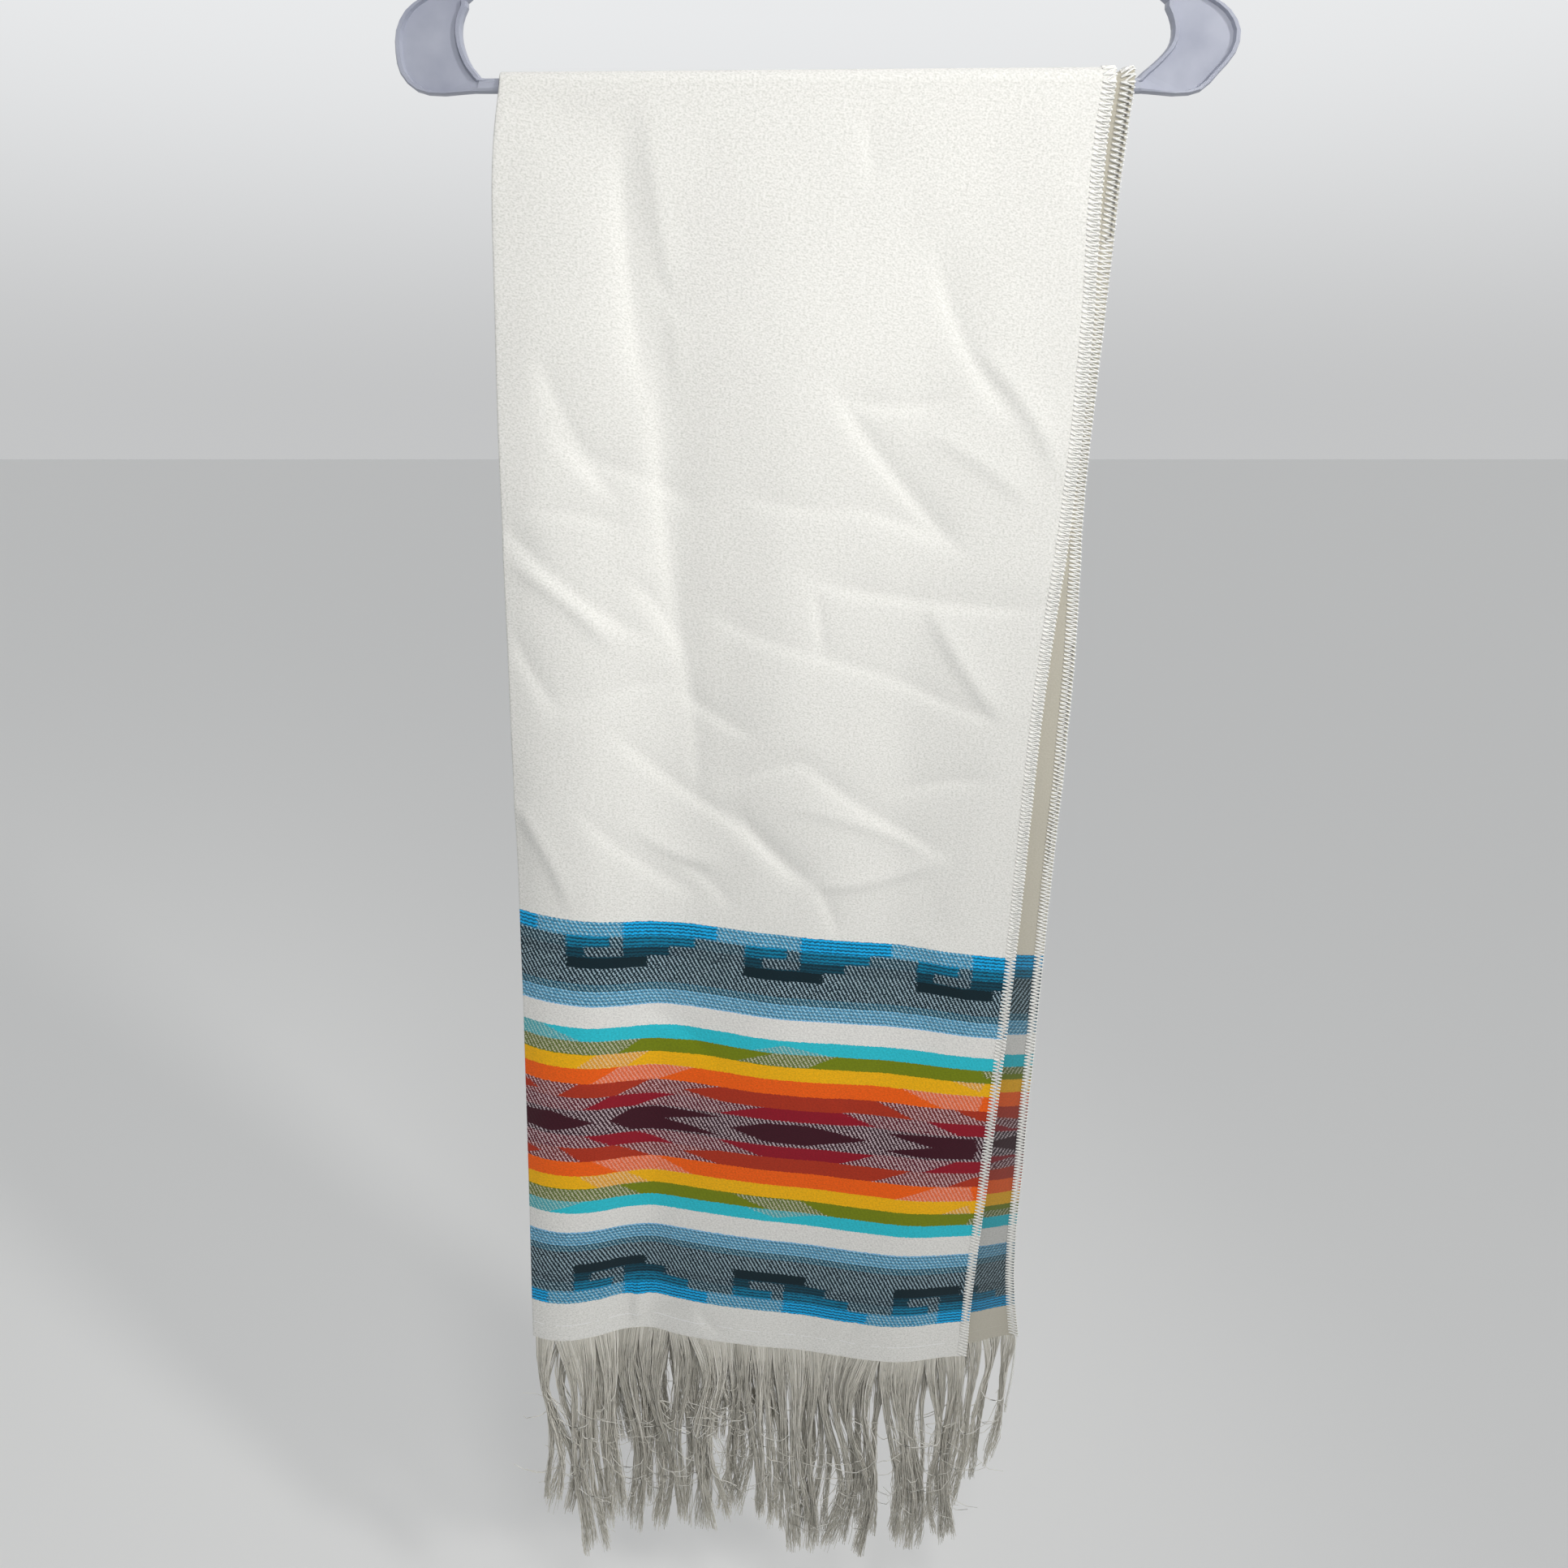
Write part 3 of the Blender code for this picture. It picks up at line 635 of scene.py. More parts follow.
class Nodes:
    """Short ways to lay out the nodes of a material or of the world."""

    def __init__(self, owner, shader):
        owner.use_nodes = True
        self.owner = owner
        self.tree = owner.node_tree
        self.shader = self.tree.nodes[shader]

    def put(self, value, socket):
        """Links a node's output to the socket, or sets the socket to a plain value."""
        if isinstance(value, bpy.types.NodeSocket):
            self.tree.links.new(value, socket)
        else:
            socket.default_value = value

    def give(self, **inputs):
        """Links or sets the shader's inputs, whose names are written with _ for a space."""
        for name, value in inputs.items():
            self.put(value, self.shader.inputs[name.replace("_", " ")])

    def add(self, kind, output, inputs, **settings):
        """Adds a node with its settings and inputs, and returns one of its outputs."""
        node = self.tree.nodes.new("ShaderNode" + kind)
        for name, value in settings.items():
            setattr(node, name, value)
        for name, value in inputs.items():
            self.put(value, node.inputs[name])
        return node.outputs[output]

    def coordinates(self, kind):
        return self.add("TexCoord", kind, {})

    def attribute(self, name):
        return self.add("Attribute", "Fac", {}, attribute_name=name)

    def math(self, operation, *values):
        return self.add("Math", 0, dict(enumerate(values)), operation=operation)

    times = partialmethod(math, "MULTIPLY")
    times_plus = partialmethod(math, "MULTIPLY_ADD")
    over = partialmethod(math, "GREATER_THAN")

    def inside(self, value, low, high):
        """1 where low < value < high."""
        return self.times(self.over(value, low), self.math("LESS_THAN", value, high))

    def zigzag(self, value, pitch):
        """Goes from 0 to 0.5 and back once in every pitch."""
        return self.math("PINGPONG", self.math("DIVIDE", value, pitch), 0.5)

    def either(self, *masks):
        total = masks[0]
        for mask in masks[1:]:
            total = self.math("MAXIMUM", total, mask)
        return total

    def ramp(self, value, stops, interpolation="LINEAR"):
        """stops are pairs of a place and a colour as 0 to 255, or a grey value as 0 to 1."""
        node = self.tree.nodes.new("ShaderNodeValToRGB")
        ramp = node.color_ramp
        ramp.interpolation = interpolation
        while len(ramp.elements) < len(stops):
            ramp.elements.new(1.0)
        for element, (place, colour) in zip(ramp.elements, stops):
            element.position = min(max(place, 0.0), 1.0)
            grey = (colour, colour, colour, 1)
            element.color = linear(*colour) if isinstance(colour, tuple) else grey
        self.put(value, node.inputs[0])
        return node.outputs["Color"]

    def mix(self, factor, first, second, blend="MIX"):
        """The first colour where the factor is 0, and the second where it is 1."""
        inputs = {"Factor": factor, "A": first, "B": second}
        return self.add("Mix", "Result", inputs, data_type="RGBA", blend_type=blend)

    def place(self, x, y):
        return self.add("CombineXYZ", 0, {"X": x, "Y": y})

    def noise(self, place, scale, detail=2.0):
        return self.add("TexNoise", "Fac", {"Vector": place, "Scale": scale, "Detail": detail})

    def bump(self, height, strength, distance):
        inputs = {"Height": height, "Strength": strength, "Distance": distance}
        self.give(Normal=self.add("Bump", 0, inputs))


def new_material(name):
    return Nodes(bpy.data.materials.new(name), "Principled BSDF")


WHITE = (243, 242, 238)
RIB_COLOUR = linear(0, 34, 48)
CREPE_DARK = (216, 216, 210)
CREPE_LIGHT = (244, 243, 239)
LINE_COLOUR = (1.0, 1.0, 1.0, 1.0)

# Stripes over the band: the full colour inside a figure, and the dark and the light yarn that
# are twilled together outside it
# Columns: mm from the band's edge, full colour, dark yarn, light yarn, as 0 to 255
STRIPES = (
    (0.0, (16, 188, 255), (70, 165, 210), (183, 228, 246)),
    (9.5, (0, 132, 172), (8, 56, 72), (172, 200, 212)),
    (16.8, (0, 72, 92), (6, 36, 48), (170, 194, 206)),
    (23.5, (0, 34, 44), (6, 36, 48), (170, 194, 206)),
    (42.0, (0, 100, 130), (32, 94, 120), (166, 204, 216)),
    (47.0, (128, 198, 248), (92, 168, 208), (180, 230, 252)),
    (57.5, WHITE, WHITE, WHITE),
    (72.5, (46, 204, 222), (84, 176, 186), (166, 214, 212)),
    (82.2, (124, 138, 4), (108, 122, 62), (200, 200, 168)),
    (91.6, (255, 190, 4), (238, 168, 62), (252, 212, 150)),
    (101.7, (255, 102, 8), (244, 116, 70), (252, 168, 144)),
    (113.1, (182, 52, 24), (118, 44, 46), (222, 186, 188)),
    (123.7, (152, 10, 36), (98, 28, 42), (218, 190, 194)),
    (132.7, (64, 6, 28), (56, 18, 32), (208, 190, 196)),
)

# Figures in the stripes of the middle. Each fills the space between two outlines, given as
# pairs of mm from the fold and a share of the stripe: 0 at its side next to the band's middle
# Columns: stripe's two sides in mm from the band's middle, lower outline, upper outline
FIGURES = (
    (0.0, 10.0,
     ((0, 0), (92, 0), (131, 0.7), (132, 0), (240, 0), (241, 0.65), (274, 0)),
     ((0, 0.55), (18, 0.74), (46, 0), (55, 0), (70, 0.8), (87, 0.88), (122, 0.76),
      (131, 0.7), (132, 0), (136, 0), (160, 0.7), (188, 0.78), (229, 0), (240, 0),
      (241, 0.66), (268, 0.82), (304, 0.8), (306, 0), (334, 0.6))),
    (10.0, 19.0,
     ((0, 0), (74, 0), (100, 1), (128, 1), (129, 0), (236, 0), (237, 1), (268, 1), (292, 0)),
     ((0, 0), (38, 0), (56, 1), (127, 1), (128, 0), (158, 1), (211, 1), (235, 0), (236, 0),
      (267, 0), (268, 1), (306, 1), (330, 0.2))),
    (19.0, 29.6,
     ((0, 0.2), (11, 0.4), (12, 0), (60, 0), (84, 1), (104, 1), (105, 0.4), (130, 0),
      (285, 0), (286, 1), (306, 0.3), (340, 0)),
     ((0, 0.9), (11, 0.4), (12, 0), (22, 0), (36, 1), (103, 1), (104, 0.4), (130, 1),
      (234, 1), (258, 0.1), (259, 0), (286, 0), (287, 1), (340, 1))),
    (29.6, 41.0,
     ((0, 0), (43.6, 0), (63, 1), (88, 1), (89, 0)),
     ((0, 1), (87, 1), (88, 0), (112, 1), (250, 1), (280, 0), (305, 0), (306, 1))),
    (41.0, 51.1,
     ((0, 0), (35, 0), (48, 1), (67, 1), (68, 0)),
     ((0, 1), (66, 1), (67, 0), (83, 1), (284, 1), (304, 0.3), (306, 1))),
    (51.1, 60.5,
     ((0, 0), (140, 0), (165, 1), (186, 1), (187, 0)),
     ((0, 0), (62, 0), (78, 1), (185, 1), (186, 0), (206, 1), (304, 1), (306, 0.4))),
    (60.5, 70.2,
     ((0, 1), (12, 1), (38, 0), (150, 0), (170, 0.6), (200, 0)),
     ((0, 1), (340, 1))),
)

# The stepped figure of the blue stripes, which repeats along the weft
STEP_START = 30.0
STEP_REPEAT = 112.5
# Columns: the row's two sides in mm from the band's edge, then the filled stretches in mm
STEPS = (
    (0.0, 9.5, ((35.5, 95.0),)),
    (9.5, 16.8, ((0.0, 27.0), (35.5, 81.0))),
    (16.8, 23.5, ((0.0, 11.5), (35.5, 65.0))),
    (23.5, 31.3, ((0.0, 51.0),)),
)
RIB_PITCH = 2.35
RIB_WAVE = 3.4
RIB_WAVER = 0.9
RIBBED = ((0.0, 23.5), (42.0, 57.5))
TWILL_PITCH = 2.8
TWILL_ROW = 1.2
TWILL_STEP = 0.7
LIGHT_SHARE = 0.36
HEM_LINE = 12.5
HEM_LINE_HALF = 0.3
WHITE_STRIPE = (57.5, 72.5)

# How uneven the weave is. Scales are humps for each mm
JITTER_SCALE = 0.9
JITTER_UP = 1.6  # mm that a border moves along the warp
JITTER_ALONG = 7.0  # and along the weft
TWILL_BREAK = 0.9
TWILL_SCALE = 0.8
LINE_SCALE = 0.09
LINE_SHOWS = 0.47  # the line above the hem shows where the noise is over this
# The crepe's grain. Columns: scale along the weft, along the warp and of both, detail, share
GRAINS = ((0.7, 1.0, 1.15, 3.0, 0.75), (1.0, 1.4, 0.42, 2.0, 0.25))
GRAIN_DARK = 0.34  # the grain's values that are given the darkest and the lightest tones
GRAIN_LIGHT = 0.58
BAND_LIGHT = 0.6

# How strongly each shows, from 0 to 1
RIB_FADE = (0.14, 0.3)  # from the middle of a rib's line outward, in pitches
RIB_STRENGTH = 0.5
RIB_ADDED = 0.3  # inside a figure
LINE_STRENGTH = 0.8
# The wrong side's own duller, yellower tint, darkened further with painted shade for the inner
# layer that lies in shadow behind the outer one
WRONG_SIDE_TINT_AND_SHADE = (0.8, linear(180, 174, 156))
# The band's own muted colours on the wrong side, darkened further with painted shade from the layer
# in front
WRONG_BAND_TINT_AND_SHADE = (0.42, linear(62, 70, 68))
BAND_GRAIN = 0.6
BAND_DARK = 0.6

# How high the weave stands, as shares of the bump's height
TWILL_RELIEF = 0.9
RIB_RELIEF = 1.2
LINE_RELIEF = 0.6
# Columns: strength, height
CLOTH_BUMP = (0.55, 0.25 * MM)
THREAD_BUMP = (0.4, 0.1 * MM)
PLASTIC_BUMP = (0.12, 0.1 * MM)

# Noise in the other materials, in humps for each metre
THREAD_FIBRES = 2600.0
FLOW_MARKS = 42.0
PLASTIC_GRAIN = 900.0


def outline(nodes, weft, pairs):
    return nodes.ramp(
        nodes.math("DIVIDE", weft, WEFT_SPAN), [(x / WEFT_SPAN, share) for x, share in pairs]
    )


def figure_mask(nodes, weft, from_middle):
    """1 where the stripes of the middle are filled with their full colour."""
    masks = []
    for inner, outer, lower, upper in FIGURES:
        height = nodes.math("SUBTRACT", from_middle, inner)
        share = nodes.math("DIVIDE", height, outer - inner)
        above = nodes.over(share, outline(nodes, weft, lower))
        below = nodes.math("LESS_THAN", share, outline(nodes, weft, upper))
        filled = nodes.times(above, below)
        masks.append(nodes.times(filled, nodes.inside(from_middle, inner, outer)))
    return nodes.either(*masks)


def step_mask(nodes, weft, from_edge):
    """1 inside the stepped figure of the blue stripes."""
    shifted = nodes.math("ADD", weft, STEP_REPEAT - STEP_START)
    place = nodes.math("MODULO", shifted, STEP_REPEAT)
    masks = []
    for start, end, stretches in STEPS:
        filled = nodes.either(*[nodes.inside(place, low, high) for low, high in stretches])
        masks.append(nodes.times(filled, nodes.inside(from_edge, start, end)))
    return nodes.either(*masks)


def cloth_material():
    """White crepe cloth with the woven band, from each point's place on the cloth, with painted
    shade on its wrong side.
    """
    nodes = new_material("woven_cotton")
    weft = nodes.times(nodes.attribute("weft"), 1 / MM)
    height = nodes.times(nodes.attribute("above_hem"), 1 / MM)
    wrong = nodes.over(nodes.attribute("wrong_side"), 0.5)
    cloth = nodes.place(weft, height)

    # The weave's own steps make every woven border a little uneven
    jitter = nodes.math("SUBTRACT", nodes.noise(cloth, JITTER_SCALE, 1.0), 0.5)
    jagged = nodes.times_plus(jitter, JITTER_UP, height)
    from_bottom = nodes.math("SUBTRACT", jagged, HEM_STRIP)
    from_middle = nodes.math("ABSOLUTE", nodes.math("SUBTRACT", from_bottom, BAND_MIDDLE))
    from_edge = nodes.math("SUBTRACT", BAND_MIDDLE, from_middle)
    in_band = nodes.over(from_edge, 0.0)
    jagged_weft = nodes.times_plus(jitter, JITTER_ALONG, weft)

    filled = nodes.either(
        figure_mask(nodes, jagged_weft, from_middle),
        step_mask(nodes, jagged_weft, from_edge),
        nodes.inside(from_edge, *WHITE_STRIPE),
    )
    along = nodes.math("DIVIDE", from_edge, BAND_MIDDLE)

    def stripes(column):
        stops = [(stripe[0] / BAND_MIDDLE, stripe[column]) for stripe in STRIPES]
        return nodes.ramp(along, stops, "CONSTANT")

    # Twill: light and dark yarns in slanted steps, the other way round on the wrong side
    row = nodes.math("FLOOR", nodes.math("DIVIDE", height, TWILL_ROW))
    slant = nodes.times_plus(wrong, -2.0, 1.0)
    shifted = nodes.times_plus(nodes.times(row, slant), TWILL_STEP, weft)
    twill = nodes.zigzag(shifted, TWILL_PITCH)
    broken = nodes.noise(cloth, TWILL_SCALE)
    broken = nodes.times_plus(broken, TWILL_BREAK, -TWILL_BREAK / 2)
    woven = nodes.math("ADD", twill, broken)
    light_yarn = nodes.over(woven, (1 - LIGHT_SHARE) / 2)
    hatch = nodes.mix(light_yarn, stripes(2), stripes(3))

    # Ribs: thin dark weft lines that waver with the warp
    rib_place = nodes.times_plus(nodes.zigzag(weft, RIB_WAVE), RIB_WAVER, from_edge)
    ribs = nodes.zigzag(rib_place, RIB_PITCH)
    ribbed = nodes.either(*[nodes.inside(from_edge, low, high) for low, high in RIBBED])
    rib_shade = nodes.times(ribbed, nodes.ramp(ribs, [(RIB_FADE[0], 1.0), (RIB_FADE[1], 0.0)]))
    rib_strength = nodes.times_plus(filled, RIB_ADDED, RIB_STRENGTH)
    band = nodes.mix(filled, hatch, stripes(1))
    band = nodes.mix(nodes.times(rib_shade, rib_strength), band, RIB_COLOUR)

    # The plain cloth, with the one pulled-in weft line above the hem
    line = nodes.inside(height, HEM_LINE - HEM_LINE_HALF, HEM_LINE + HEM_LINE_HALF)
    shows = nodes.over(nodes.noise(cloth, LINE_SCALE), LINE_SHOWS)
    line = nodes.times(line, shows)
    grain = 0.0
    for along_weft, along_warp, scale, detail, share in GRAINS:
        stretched = nodes.place(nodes.times(weft, along_weft), nodes.times(height, along_warp))
        grain = nodes.times_plus(nodes.noise(stretched, scale, detail), share, grain)
    plain = nodes.ramp(grain, [(GRAIN_DARK, CREPE_DARK), (GRAIN_LIGHT, CREPE_LIGHT)])
    plain = nodes.mix(nodes.times(line, LINE_STRENGTH), plain, LINE_COLOUR)
    # The wrong side: its own duller tint plus painted shade, as the inner layer lies in shadow
    # behind the outer one
    plain = nodes.mix(nodes.times(wrong, WRONG_SIDE_TINT_AND_SHADE[0]), plain, WRONG_SIDE_TINT_AND_SHADE[1])

    shade = nodes.ramp(grain, [(GRAIN_DARK, BAND_DARK), (BAND_LIGHT, 1.0)])
    band = nodes.mix(BAND_GRAIN, band, shade, "MULTIPLY")
    # The band on the wrong side: its own muted colours plus painted shade from the layer in front
    band = nodes.mix(nodes.times(wrong, WRONG_BAND_TINT_AND_SHADE[0]), band, WRONG_BAND_TINT_AND_SHADE[1])

    relief = grain
    for raised, amount in (
        (nodes.times(in_band, twill), TWILL_RELIEF),
        (nodes.times(ribbed, ribs), RIB_RELIEF),
        (line, LINE_RELIEF),
    ):
        relief = nodes.times_plus(raised, amount, relief)
    nodes.bump(relief, *CLOTH_BUMP)
    nodes.give(
        Base_Color=nodes.mix(in_band, plain, band), Roughness=0.88, Sheen_Weight=0.15,
        Sheen_Roughness=0.5, Specular_IOR_Level=0.25)
    return nodes.owner


def yarn_material():
    """Loose warp yarn: each one has its own tone."""
    nodes = new_material("loose_warp_yarn")
    colour = nodes.ramp(nodes.attribute("tone"), [
        (0.0, (190, 187, 177)),
        (0.5, (232, 229, 219)),
        (0.8, (246, 243, 234)),
        (1.0, (254, 252, 245)),
    ])
    nodes.give(Base_Color=colour, Roughness=0.8, Specular_IOR_Level=0.3)
    return nodes.owner


def thread_material():
    """White overlock thread."""
    nodes = new_material("overlock_thread")
    fibres = nodes.noise(nodes.coordinates("Object"), THREAD_FIBRES, 1.0)
    colour = nodes.ramp(fibres, [(0.3, (238, 237, 231)), (0.6, (254, 254, 251))])
    nodes.bump(fibres, *THREAD_BUMP)
    nodes.give(Base_Color=colour, Roughness=0.7)
    return nodes.owner


def plastic_material():
    """Moulded lavender-grey plastic with a soft gloss and faint flow marks."""
    nodes = new_material("moulded_plastic")
    place = nodes.coordinates("Object")
    marks = nodes.noise(place, FLOW_MARKS, 4.0)
    colour = nodes.ramp(marks, [(0.35, (160, 164, 180)), (0.65, (174, 178, 192))])
    roughness = nodes.ramp(marks, [(0.3, 0.28), (0.7, 0.42)])
    nodes.bump(nodes.noise(place, PLASTIC_GRAIN), *PLASTIC_BUMP)
    nodes.give(Base_Color=colour, Roughness=roughness)
    return nodes.owner


def tubes(paths, radii, sides):
    """Points and faces of tapered tubes along many paths of equal length: paths (n, k, 3)."""
    count, steps = paths.shape[:2]
    along = np.gradient(paths, axis=1)
    along /= np.linalg.norm(along, axis=2, keepdims=True)
    depth = np.cross(along, TUBE_ASIDE)
    length = np.linalg.norm(depth, axis=2, keepdims=True)
    turned = depth / np.maximum(length, NEARLY_ALONG)
    depth = np.where(length > NEARLY_ALONG, turned, TUBE_UPRIGHT)
    aside = np.cross(along, depth)
    rings = []
    for i in range(sides):
        angle = math.tau * i / sides
        rings.append(paths + radii[..., None] * (depth * math.cos(angle) + aside * math.sin(angle)))
    points = np.stack(rings, axis=2).reshape(-1, 3)
    first = np.arange(count * steps * sides).reshape(count, steps, sides)
    this = first[:, :-1]
    below = first[:, 1:]
    faces = np.stack((this, np.roll(this, -1, axis=2), np.roll(below, -1, axis=2), below), axis=-1)
    return points, faces.reshape(-1, 4)


def gathering(t, gathered, loosens, share):
    """Grows from 0 to 1 where t is gathered, and gives a share of it back once it loosens."""
    return smooth_step(t / gathered) * (1 - share * smooth_step((t - loosens) / (1 - loosens)))


def yarn_paths(surface, layer, yarns, clumps, rng):
    """Paths of warp yarns that leave the hem, gather into strands and clumps, and hang loose."""
    t = np.linspace(0, 1, YARN_POINTS)[None, :]
    root = (np.arange(yarns) + rng.uniform(-ROOT_UNEVEN, ROOT_UNEVEN, yarns) + 0.5) / yarns
    root = np.clip(root, *ROOT_RANGE)

    # Which clump and which strand of it each yarn belongs to
    ends = np.array([row[0] for row in clumps])
    begins = np.concatenate(((0.0,), ends[:-1]))
    index = np.searchsorted(ends, root).clip(0, len(ends) - 1)
    middle = ((begins + ends) / 2)[index]
    half = ((ends - begins) / 2)[index]
    place = (root - middle) / half
    strands = np.maximum(2, np.round(half * 2 / STRAND_SHARE))
    edges = (place + 1) / 2 * strands + rng.normal(0, STRAND_MIX, yarns)
    strand = np.clip(np.floor(edges), 0, strands - 1)
    key = (index * MOST_STRANDS + strand).astype(int)
    strand_middle = (strand + 0.5) / strands * 2 - 1

    groups = {"clump": (len(ends), index), "strand": (MOST_CLUMPS * MOST_STRANDS, key)}

    def for_each(group, spread):
        """A random number for each clump or strand, the same for all its yarns."""
        count, of_yarn = groups[group]
        return rng.normal(0, spread, count)[of_yarn][:, None]

    def each_yarn(low, high):
        return rng.uniform(low, high, (yarns, 1))

    def clump_column(column):
        return np.array([row[column] for row in clumps], float)[index][:, None] * MM

    root, middle, half, place, strand_middle = (
        values[:, None] for values in (root, middle, half, place, strand_middle))

    # Across the hem: drawn to the strand, narrowed to the clump's waist, and a little apart again
    drawn = STRAND_DRAW * gathering(t, *STRAND_GATHER)
    across = place + (strand_middle - place) * drawn
    waist = np.clip(CLUMP_WAIST + for_each("clump", WAIST_SPREAD), *WAIST_RANGE)
    narrow = 1 - (1 - waist) * gathering(t, *CLUMP_GATHER)
    share = middle + half * across * narrow
    hem_across = np.linspace(0, 1, HEM_POINTS)
    hem = surface.point(layer, hem_across, hem_across * 0 + 1)
    path = {
        "x": np.interp(share, hem_across, hem[:, 0]) + clump_column(2) * smooth_step(t / SWING_BY),
        "y": np.interp(share, hem_across, hem[:, 1]),
    }
    top = np.interp(root, hem_across, hem[:, 2])

    # Clumps, strands and yarns each hang in their own soft waves
    for group, axis, size, pace in SWAYS:
        path[axis] = path[axis] + for_each(group, size * MM) * np.sin(math.pi * pace * t)
    deep = each_yarn(-1, 1) * CLUMP_DEPTH
    path["y"] = path["y"] + deep * smooth_step(t / CLUMP_DEEP_BY)
    loose = (CRINKLE_SIZE[0] + CRINKLE_SIZE[1] * t) * smooth_step(t / CRINKLE_BY)
    for axis, size, waves in CRINKLES:
        phase = each_yarn(0, math.tau)
        pace = each_yarn(*CRINKLE_PACES) * waves
        path[axis] = path[axis] + size * MM * loose * np.sin(math.tau * pace * t + phase)

    # Lengths: the clump's own, uneven from strand to strand, with short yarns among them
    length = clump_column(1)
    short = each_yarn(0, 1) < SHORT_SHARE
    uneven = 1 + for_each("strand", STRAND_UNEVEN) + rng.normal(0, YARN_UNEVEN, (yarns, 1))
    uneven = uneven - short * each_yarn(*SHORTER)
    length = length * np.minimum(uneven, LONGEST_YARN)
    z = top + YARN_ROOT - (length + YARN_ROOT) * t

    # Strays leave their strand part way down and curl aside and up
    stray = each_yarn(0, 1) < STRAY_SHARE
    leave = each_yarn(*STRAY_LEAVES)
    away = np.clip((t - leave) / (1 - leave), 0, 1)
    bend = each_yarn(*STRAY_BENDS) * MM
    turn = each_yarn(*STRAY_TURNS) * away
    aside = np.where(each_yarn(0, 1) < 0.5, -1, 1)
    leave_z = top + YARN_ROOT - (length + YARN_ROOT) * leave
    x = path["x"] + stray * aside * bend * (1 - np.cos(turn))
    toward = -1 if surface.front else 1
    y = path["y"] + stray * toward * bend * STRAY_DEPTH * np.sin(turn / 2)
    z = np.where(stray & (away > 0), leave_z - bend * np.sin(turn), z)

    tone = rng.normal(YARN_TONE, TONE_SPREAD, (yarns, 1)) + for_each("strand", STRAND_TONE)
    tone = np.clip(tone + STRAY_BRIGHTER * stray, 0, 1)
    return np.stack((x, y, z), axis=-1), tone


def add_fringe(node, side, layer, yarns, seed, clumps, material):
    rng = np.random.default_rng(seed)
    paths, tone = yarn_paths(Side(side), layer, yarns, clumps, rng)
    t = np.linspace(0, 1, YARN_POINTS)[None, :]
    radii = YARN_R * rng.uniform(*YARN_RANGE, (yarns, 1))
    radii = radii * (1 + BRIGHT_THICKER * tone**4) * (1 - YARN_TAPER * t**4)
    points, faces = tubes(paths, radii, 3)
    tones = np.broadcast_to(tone[:, :, None], (yarns, YARN_POINTS, 3)).ravel()
    piece = add_piece(node + "_yarns", points, faces, material, (("tone", tones),))
    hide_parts(node)
    return piece


def stitch_frame(surface, layer, down, inset):
    """Places on the cloth at an inset from its long edge, and the cloth's normal there."""
    across = 1 - inset / LAYER_WIDTHS[layer]
    here = surface.point(layer, across, down)
    inward = surface.point(layer, across - NORMAL_STEP, down) - here
    lower = surface.point(layer, across, np.clip(down + NORMAL_STEP, 0, 1))
    upper = surface.point(layer, across, np.clip(down - NORMAL_STEP, 0, 1))
    normal = np.cross(inward, lower - upper)
    return here, normal / np.linalg.norm(normal, axis=1, keepdims=True)


def overlock_paths(surface, layer):
    """Threads of the overlock along one long edge: a zigzag on both faces."""
    count = int(surface.longest(layer, 1.0) / STITCH_PITCH)
    index = np.arange(count)

    def thread(stations, face):
        places = []
        for inset, shift, lift in stations:
            down = np.clip((index + 0.5 + shift) / count, 0, 1)
            inset = np.full(count, inset * STITCH_WIDTH)
            here, normal = stitch_frame(surface, layer, down, inset)
            places.append(here + face * normal * (SHEET / 2 + lift * THREAD_R))
        return np.stack(places, axis=1)

    return np.concatenate([thread(leg, face) for face in (1, -1) for leg in LEGS])


def tail_paths(start):
    """The loose chain of thread left where the stitching runs off the corner."""
    t = np.linspace(0, 1, TAIL_POINTS)
    sideways = [
        place + (size * np.sin(pace * t) + drift * t) * MM
        for place, (size, pace, drift) in zip(start, TAIL_SWAYS)
    ]
    middle = np.stack((*sideways, start[2] + TAIL_START - TAIL_LENGTH * t), axis=-1)
    strands = []
    for phase in (0, math.tau / 3, 2 * math.tau / 3):
        turn = math.tau * TAIL_TURNS * t + phase
        twist = np.stack((np.cos(turn), np.sin(turn), turn * 0), axis=-1) * TAIL_R
        strands.append(middle + twist)
    return np.array(strands)


def add_overlock(stretch, surface, layer, material):
    paths = overlock_paths(surface, layer)
    points, faces = tubes(paths, np.full(paths.shape[:2], THREAD_R), 3)
    if (stretch, layer) == ("front", "inner"):
        corner = surface.point(layer, np.array((TAIL_ACROSS,)), np.array((1.0,)))[0]
        strands = tail_paths(corner)
        tail_points, tail_faces = tubes(strands, np.full(strands.shape[:2], THREAD_R), 5)
        faces = np.concatenate((faces, tail_faces + len(points)))
        points = np.concatenate((points, tail_points))
    name = "overlock_" + stretch + "_" + layer
    return add_piece(name, points, faces, material)


def add_cloth():
    """The three sheets, each with the fringe and stitches that hang on it."""
    cloth = cloth_material()
    yarn = yarn_material()
    thread = thread_material()
    surfaces = {"front": Side("front"), "over_bar": OverBar(), "back": Side("back")}
    for stretch, *row in SHEETS:
        sheet = add_sheet(surfaces[stretch], cloth, *row)
        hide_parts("shawl_" + stretch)

    for side, layer, *row in FRINGES:
        node = "fringe_" + side + "_" + layer
        add_fringe(node, side, layer, *row, yarn)
    stitches = {stretch: [] for stretch in surfaces}
    for layer in ("outer", "inner"):
        for stretch, surface in surfaces.items():
            stitches[stretch].append(add_overlock(stretch, surface, layer, thread))


def add_hanger_finish():
    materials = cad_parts["hanger"].data.materials
    materials.clear()
    materials.append(plastic_material())


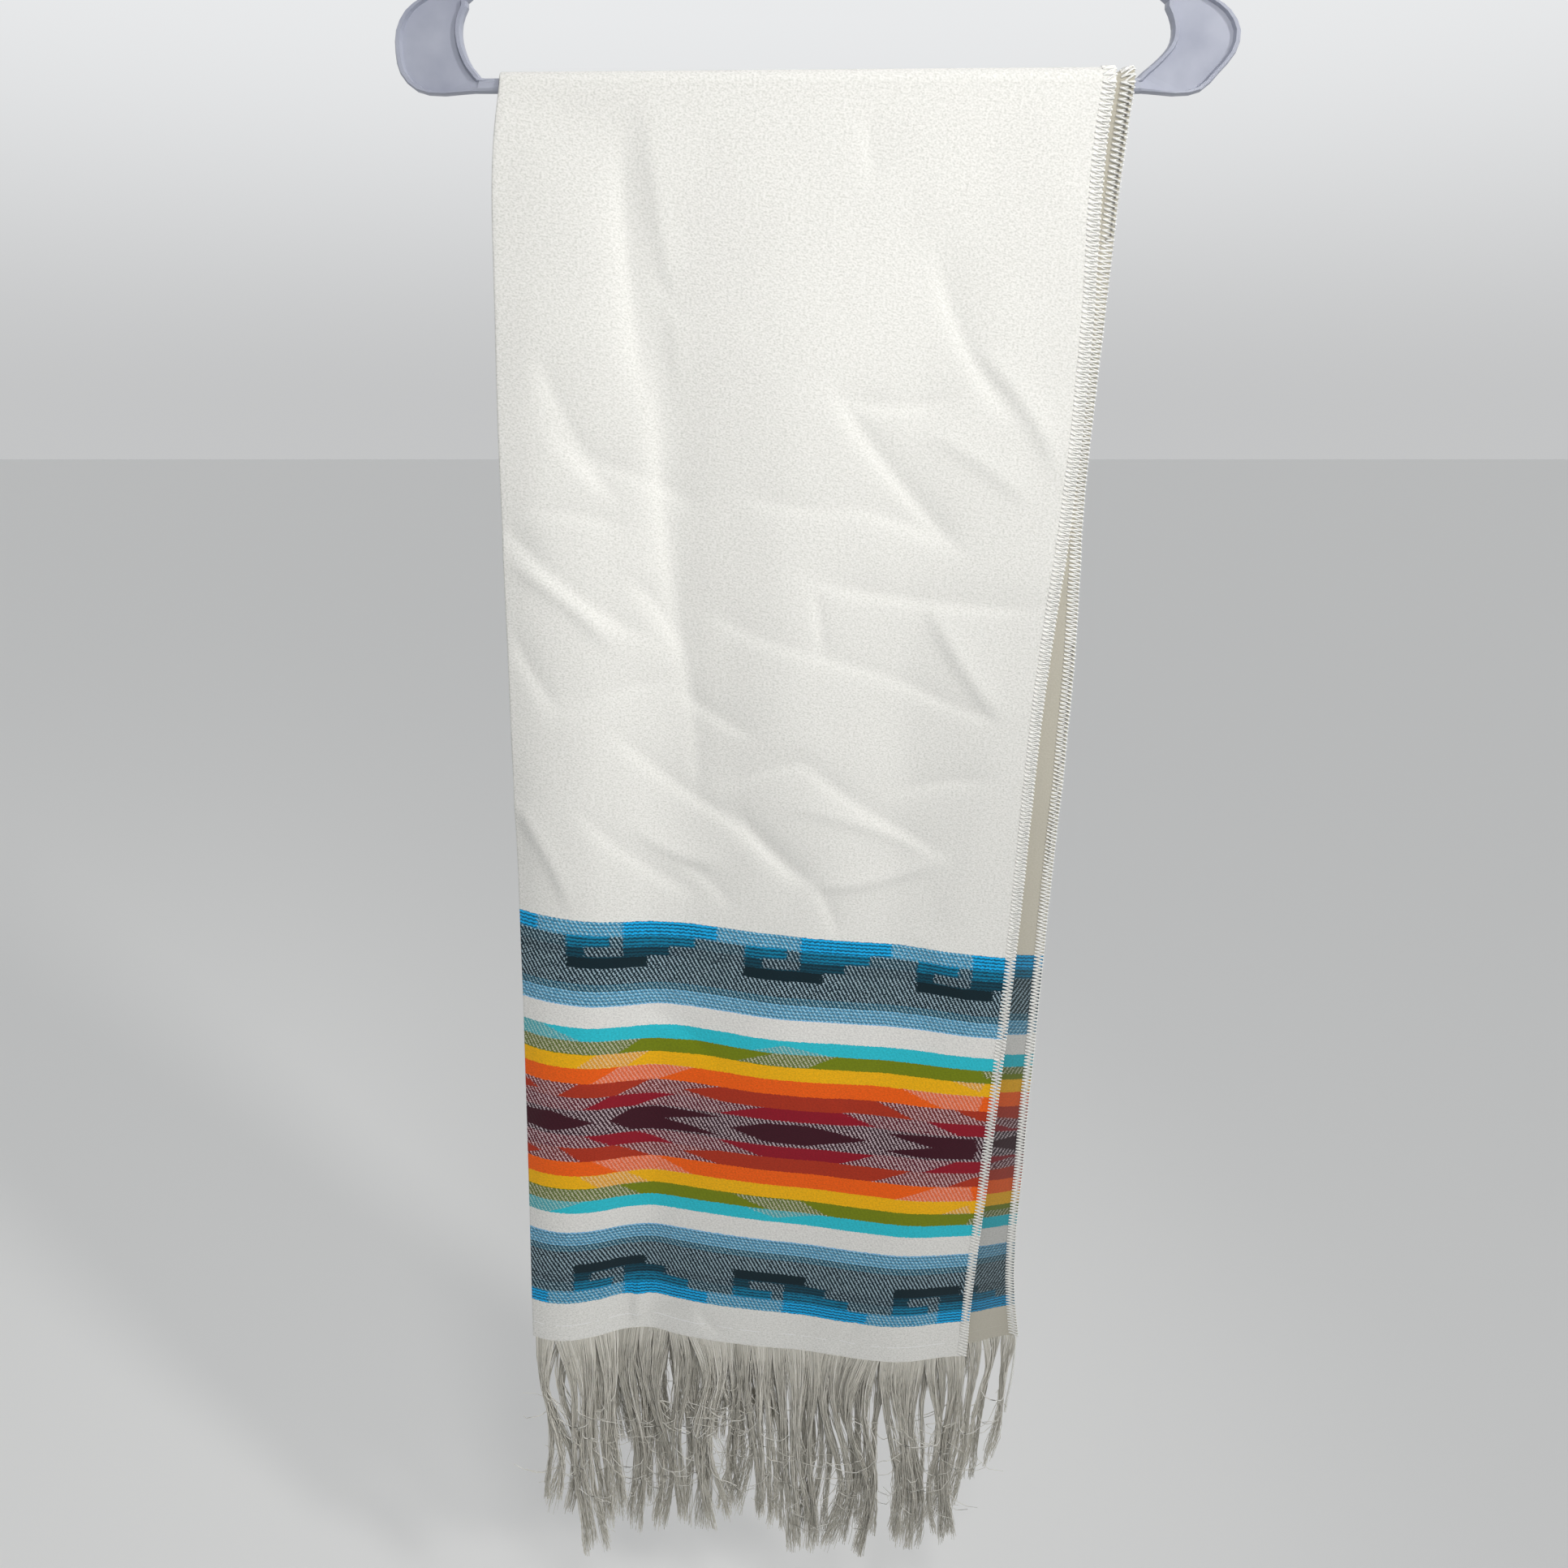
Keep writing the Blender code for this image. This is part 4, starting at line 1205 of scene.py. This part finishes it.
def add_light(name, place, target, size, power, spread, colour):
    light = bpy.data.lights.new(name, "AREA")
    light.shape = "DISK"
    light.size = size
    light.energy = power
    light.spread = math.radians(spread)
    light.color = colour
    lamp = add_object(name, light)
    lamp.location = place
    x, y, z = np.subtract(target, place)
    lamp.rotation_euler = (math.atan2(math.hypot(x, y), -z), 0, math.pi + math.atan2(x, -y))


def add_floor():
    mesh = bpy.data.meshes.new("floor")
    half = FLOOR_SIZE / 2
    corners = [(x * half, y * half, FLOOR_Z) for x, y in ((-1, -1), (1, -1), (1, 1), (-1, 1))]
    mesh.from_pydata(corners, [], [(0, 1, 2, 3)])
    nodes = new_material("pale_floor")
    nodes.give(Base_Color=FLOOR_COLOUR, Roughness=0.9)
    mesh.materials.append(nodes.owner)
    add_object("floor", mesh)


def add_world():
    """A pale room, darker on the side that the camera stands on."""
    world = bpy.data.worlds.new("pale_world")
    nodes = Nodes(world, "Background")
    view = nodes.coordinates("Generated")

    def blend(axis, reach, first, second):
        """A colour that goes from the first to the second as the view turns along an axis."""
        along = nodes.add("SeparateXYZ", axis, {0: view})
        inputs = {"Value": along, "From Min": reach[0], "From Max": reach[1]}
        turned = nodes.add("MapRange", 0, inputs, interpolation_type="SMOOTHSTEP")
        return nodes.mix(turned, first, second)

    behind = blend("Z", WORLD_RISE, WORLD_HORIZON, WORLD_ABOVE)
    nodes.give(Color=blend("Y", WORLD_TURN, WORLD_BEFORE, behind))
    bpy.context.scene.world = world


def add_camera():
    data = bpy.data.cameras.new("camera")
    data.sensor_width = SENSOR
    data.lens = FOCAL_PIXELS / IMAGE_SIDE * SENSOR
    data.clip_start, data.clip_end = CAMERA_CLIP
    camera = add_object("camera", data)
    camera.location = CAMERA_PLACE
    camera.rotation_euler = (math.pi / 2 - CAMERA_PITCH, 0, 0)
    bpy.context.scene.camera = camera
    bpy.context.scene.view_settings.view_transform = "Standard"


add_cloth()
add_hanger_finish()
add_floor()
add_world()
for lamp in LAMPS:
    add_light(*lamp)
add_camera()
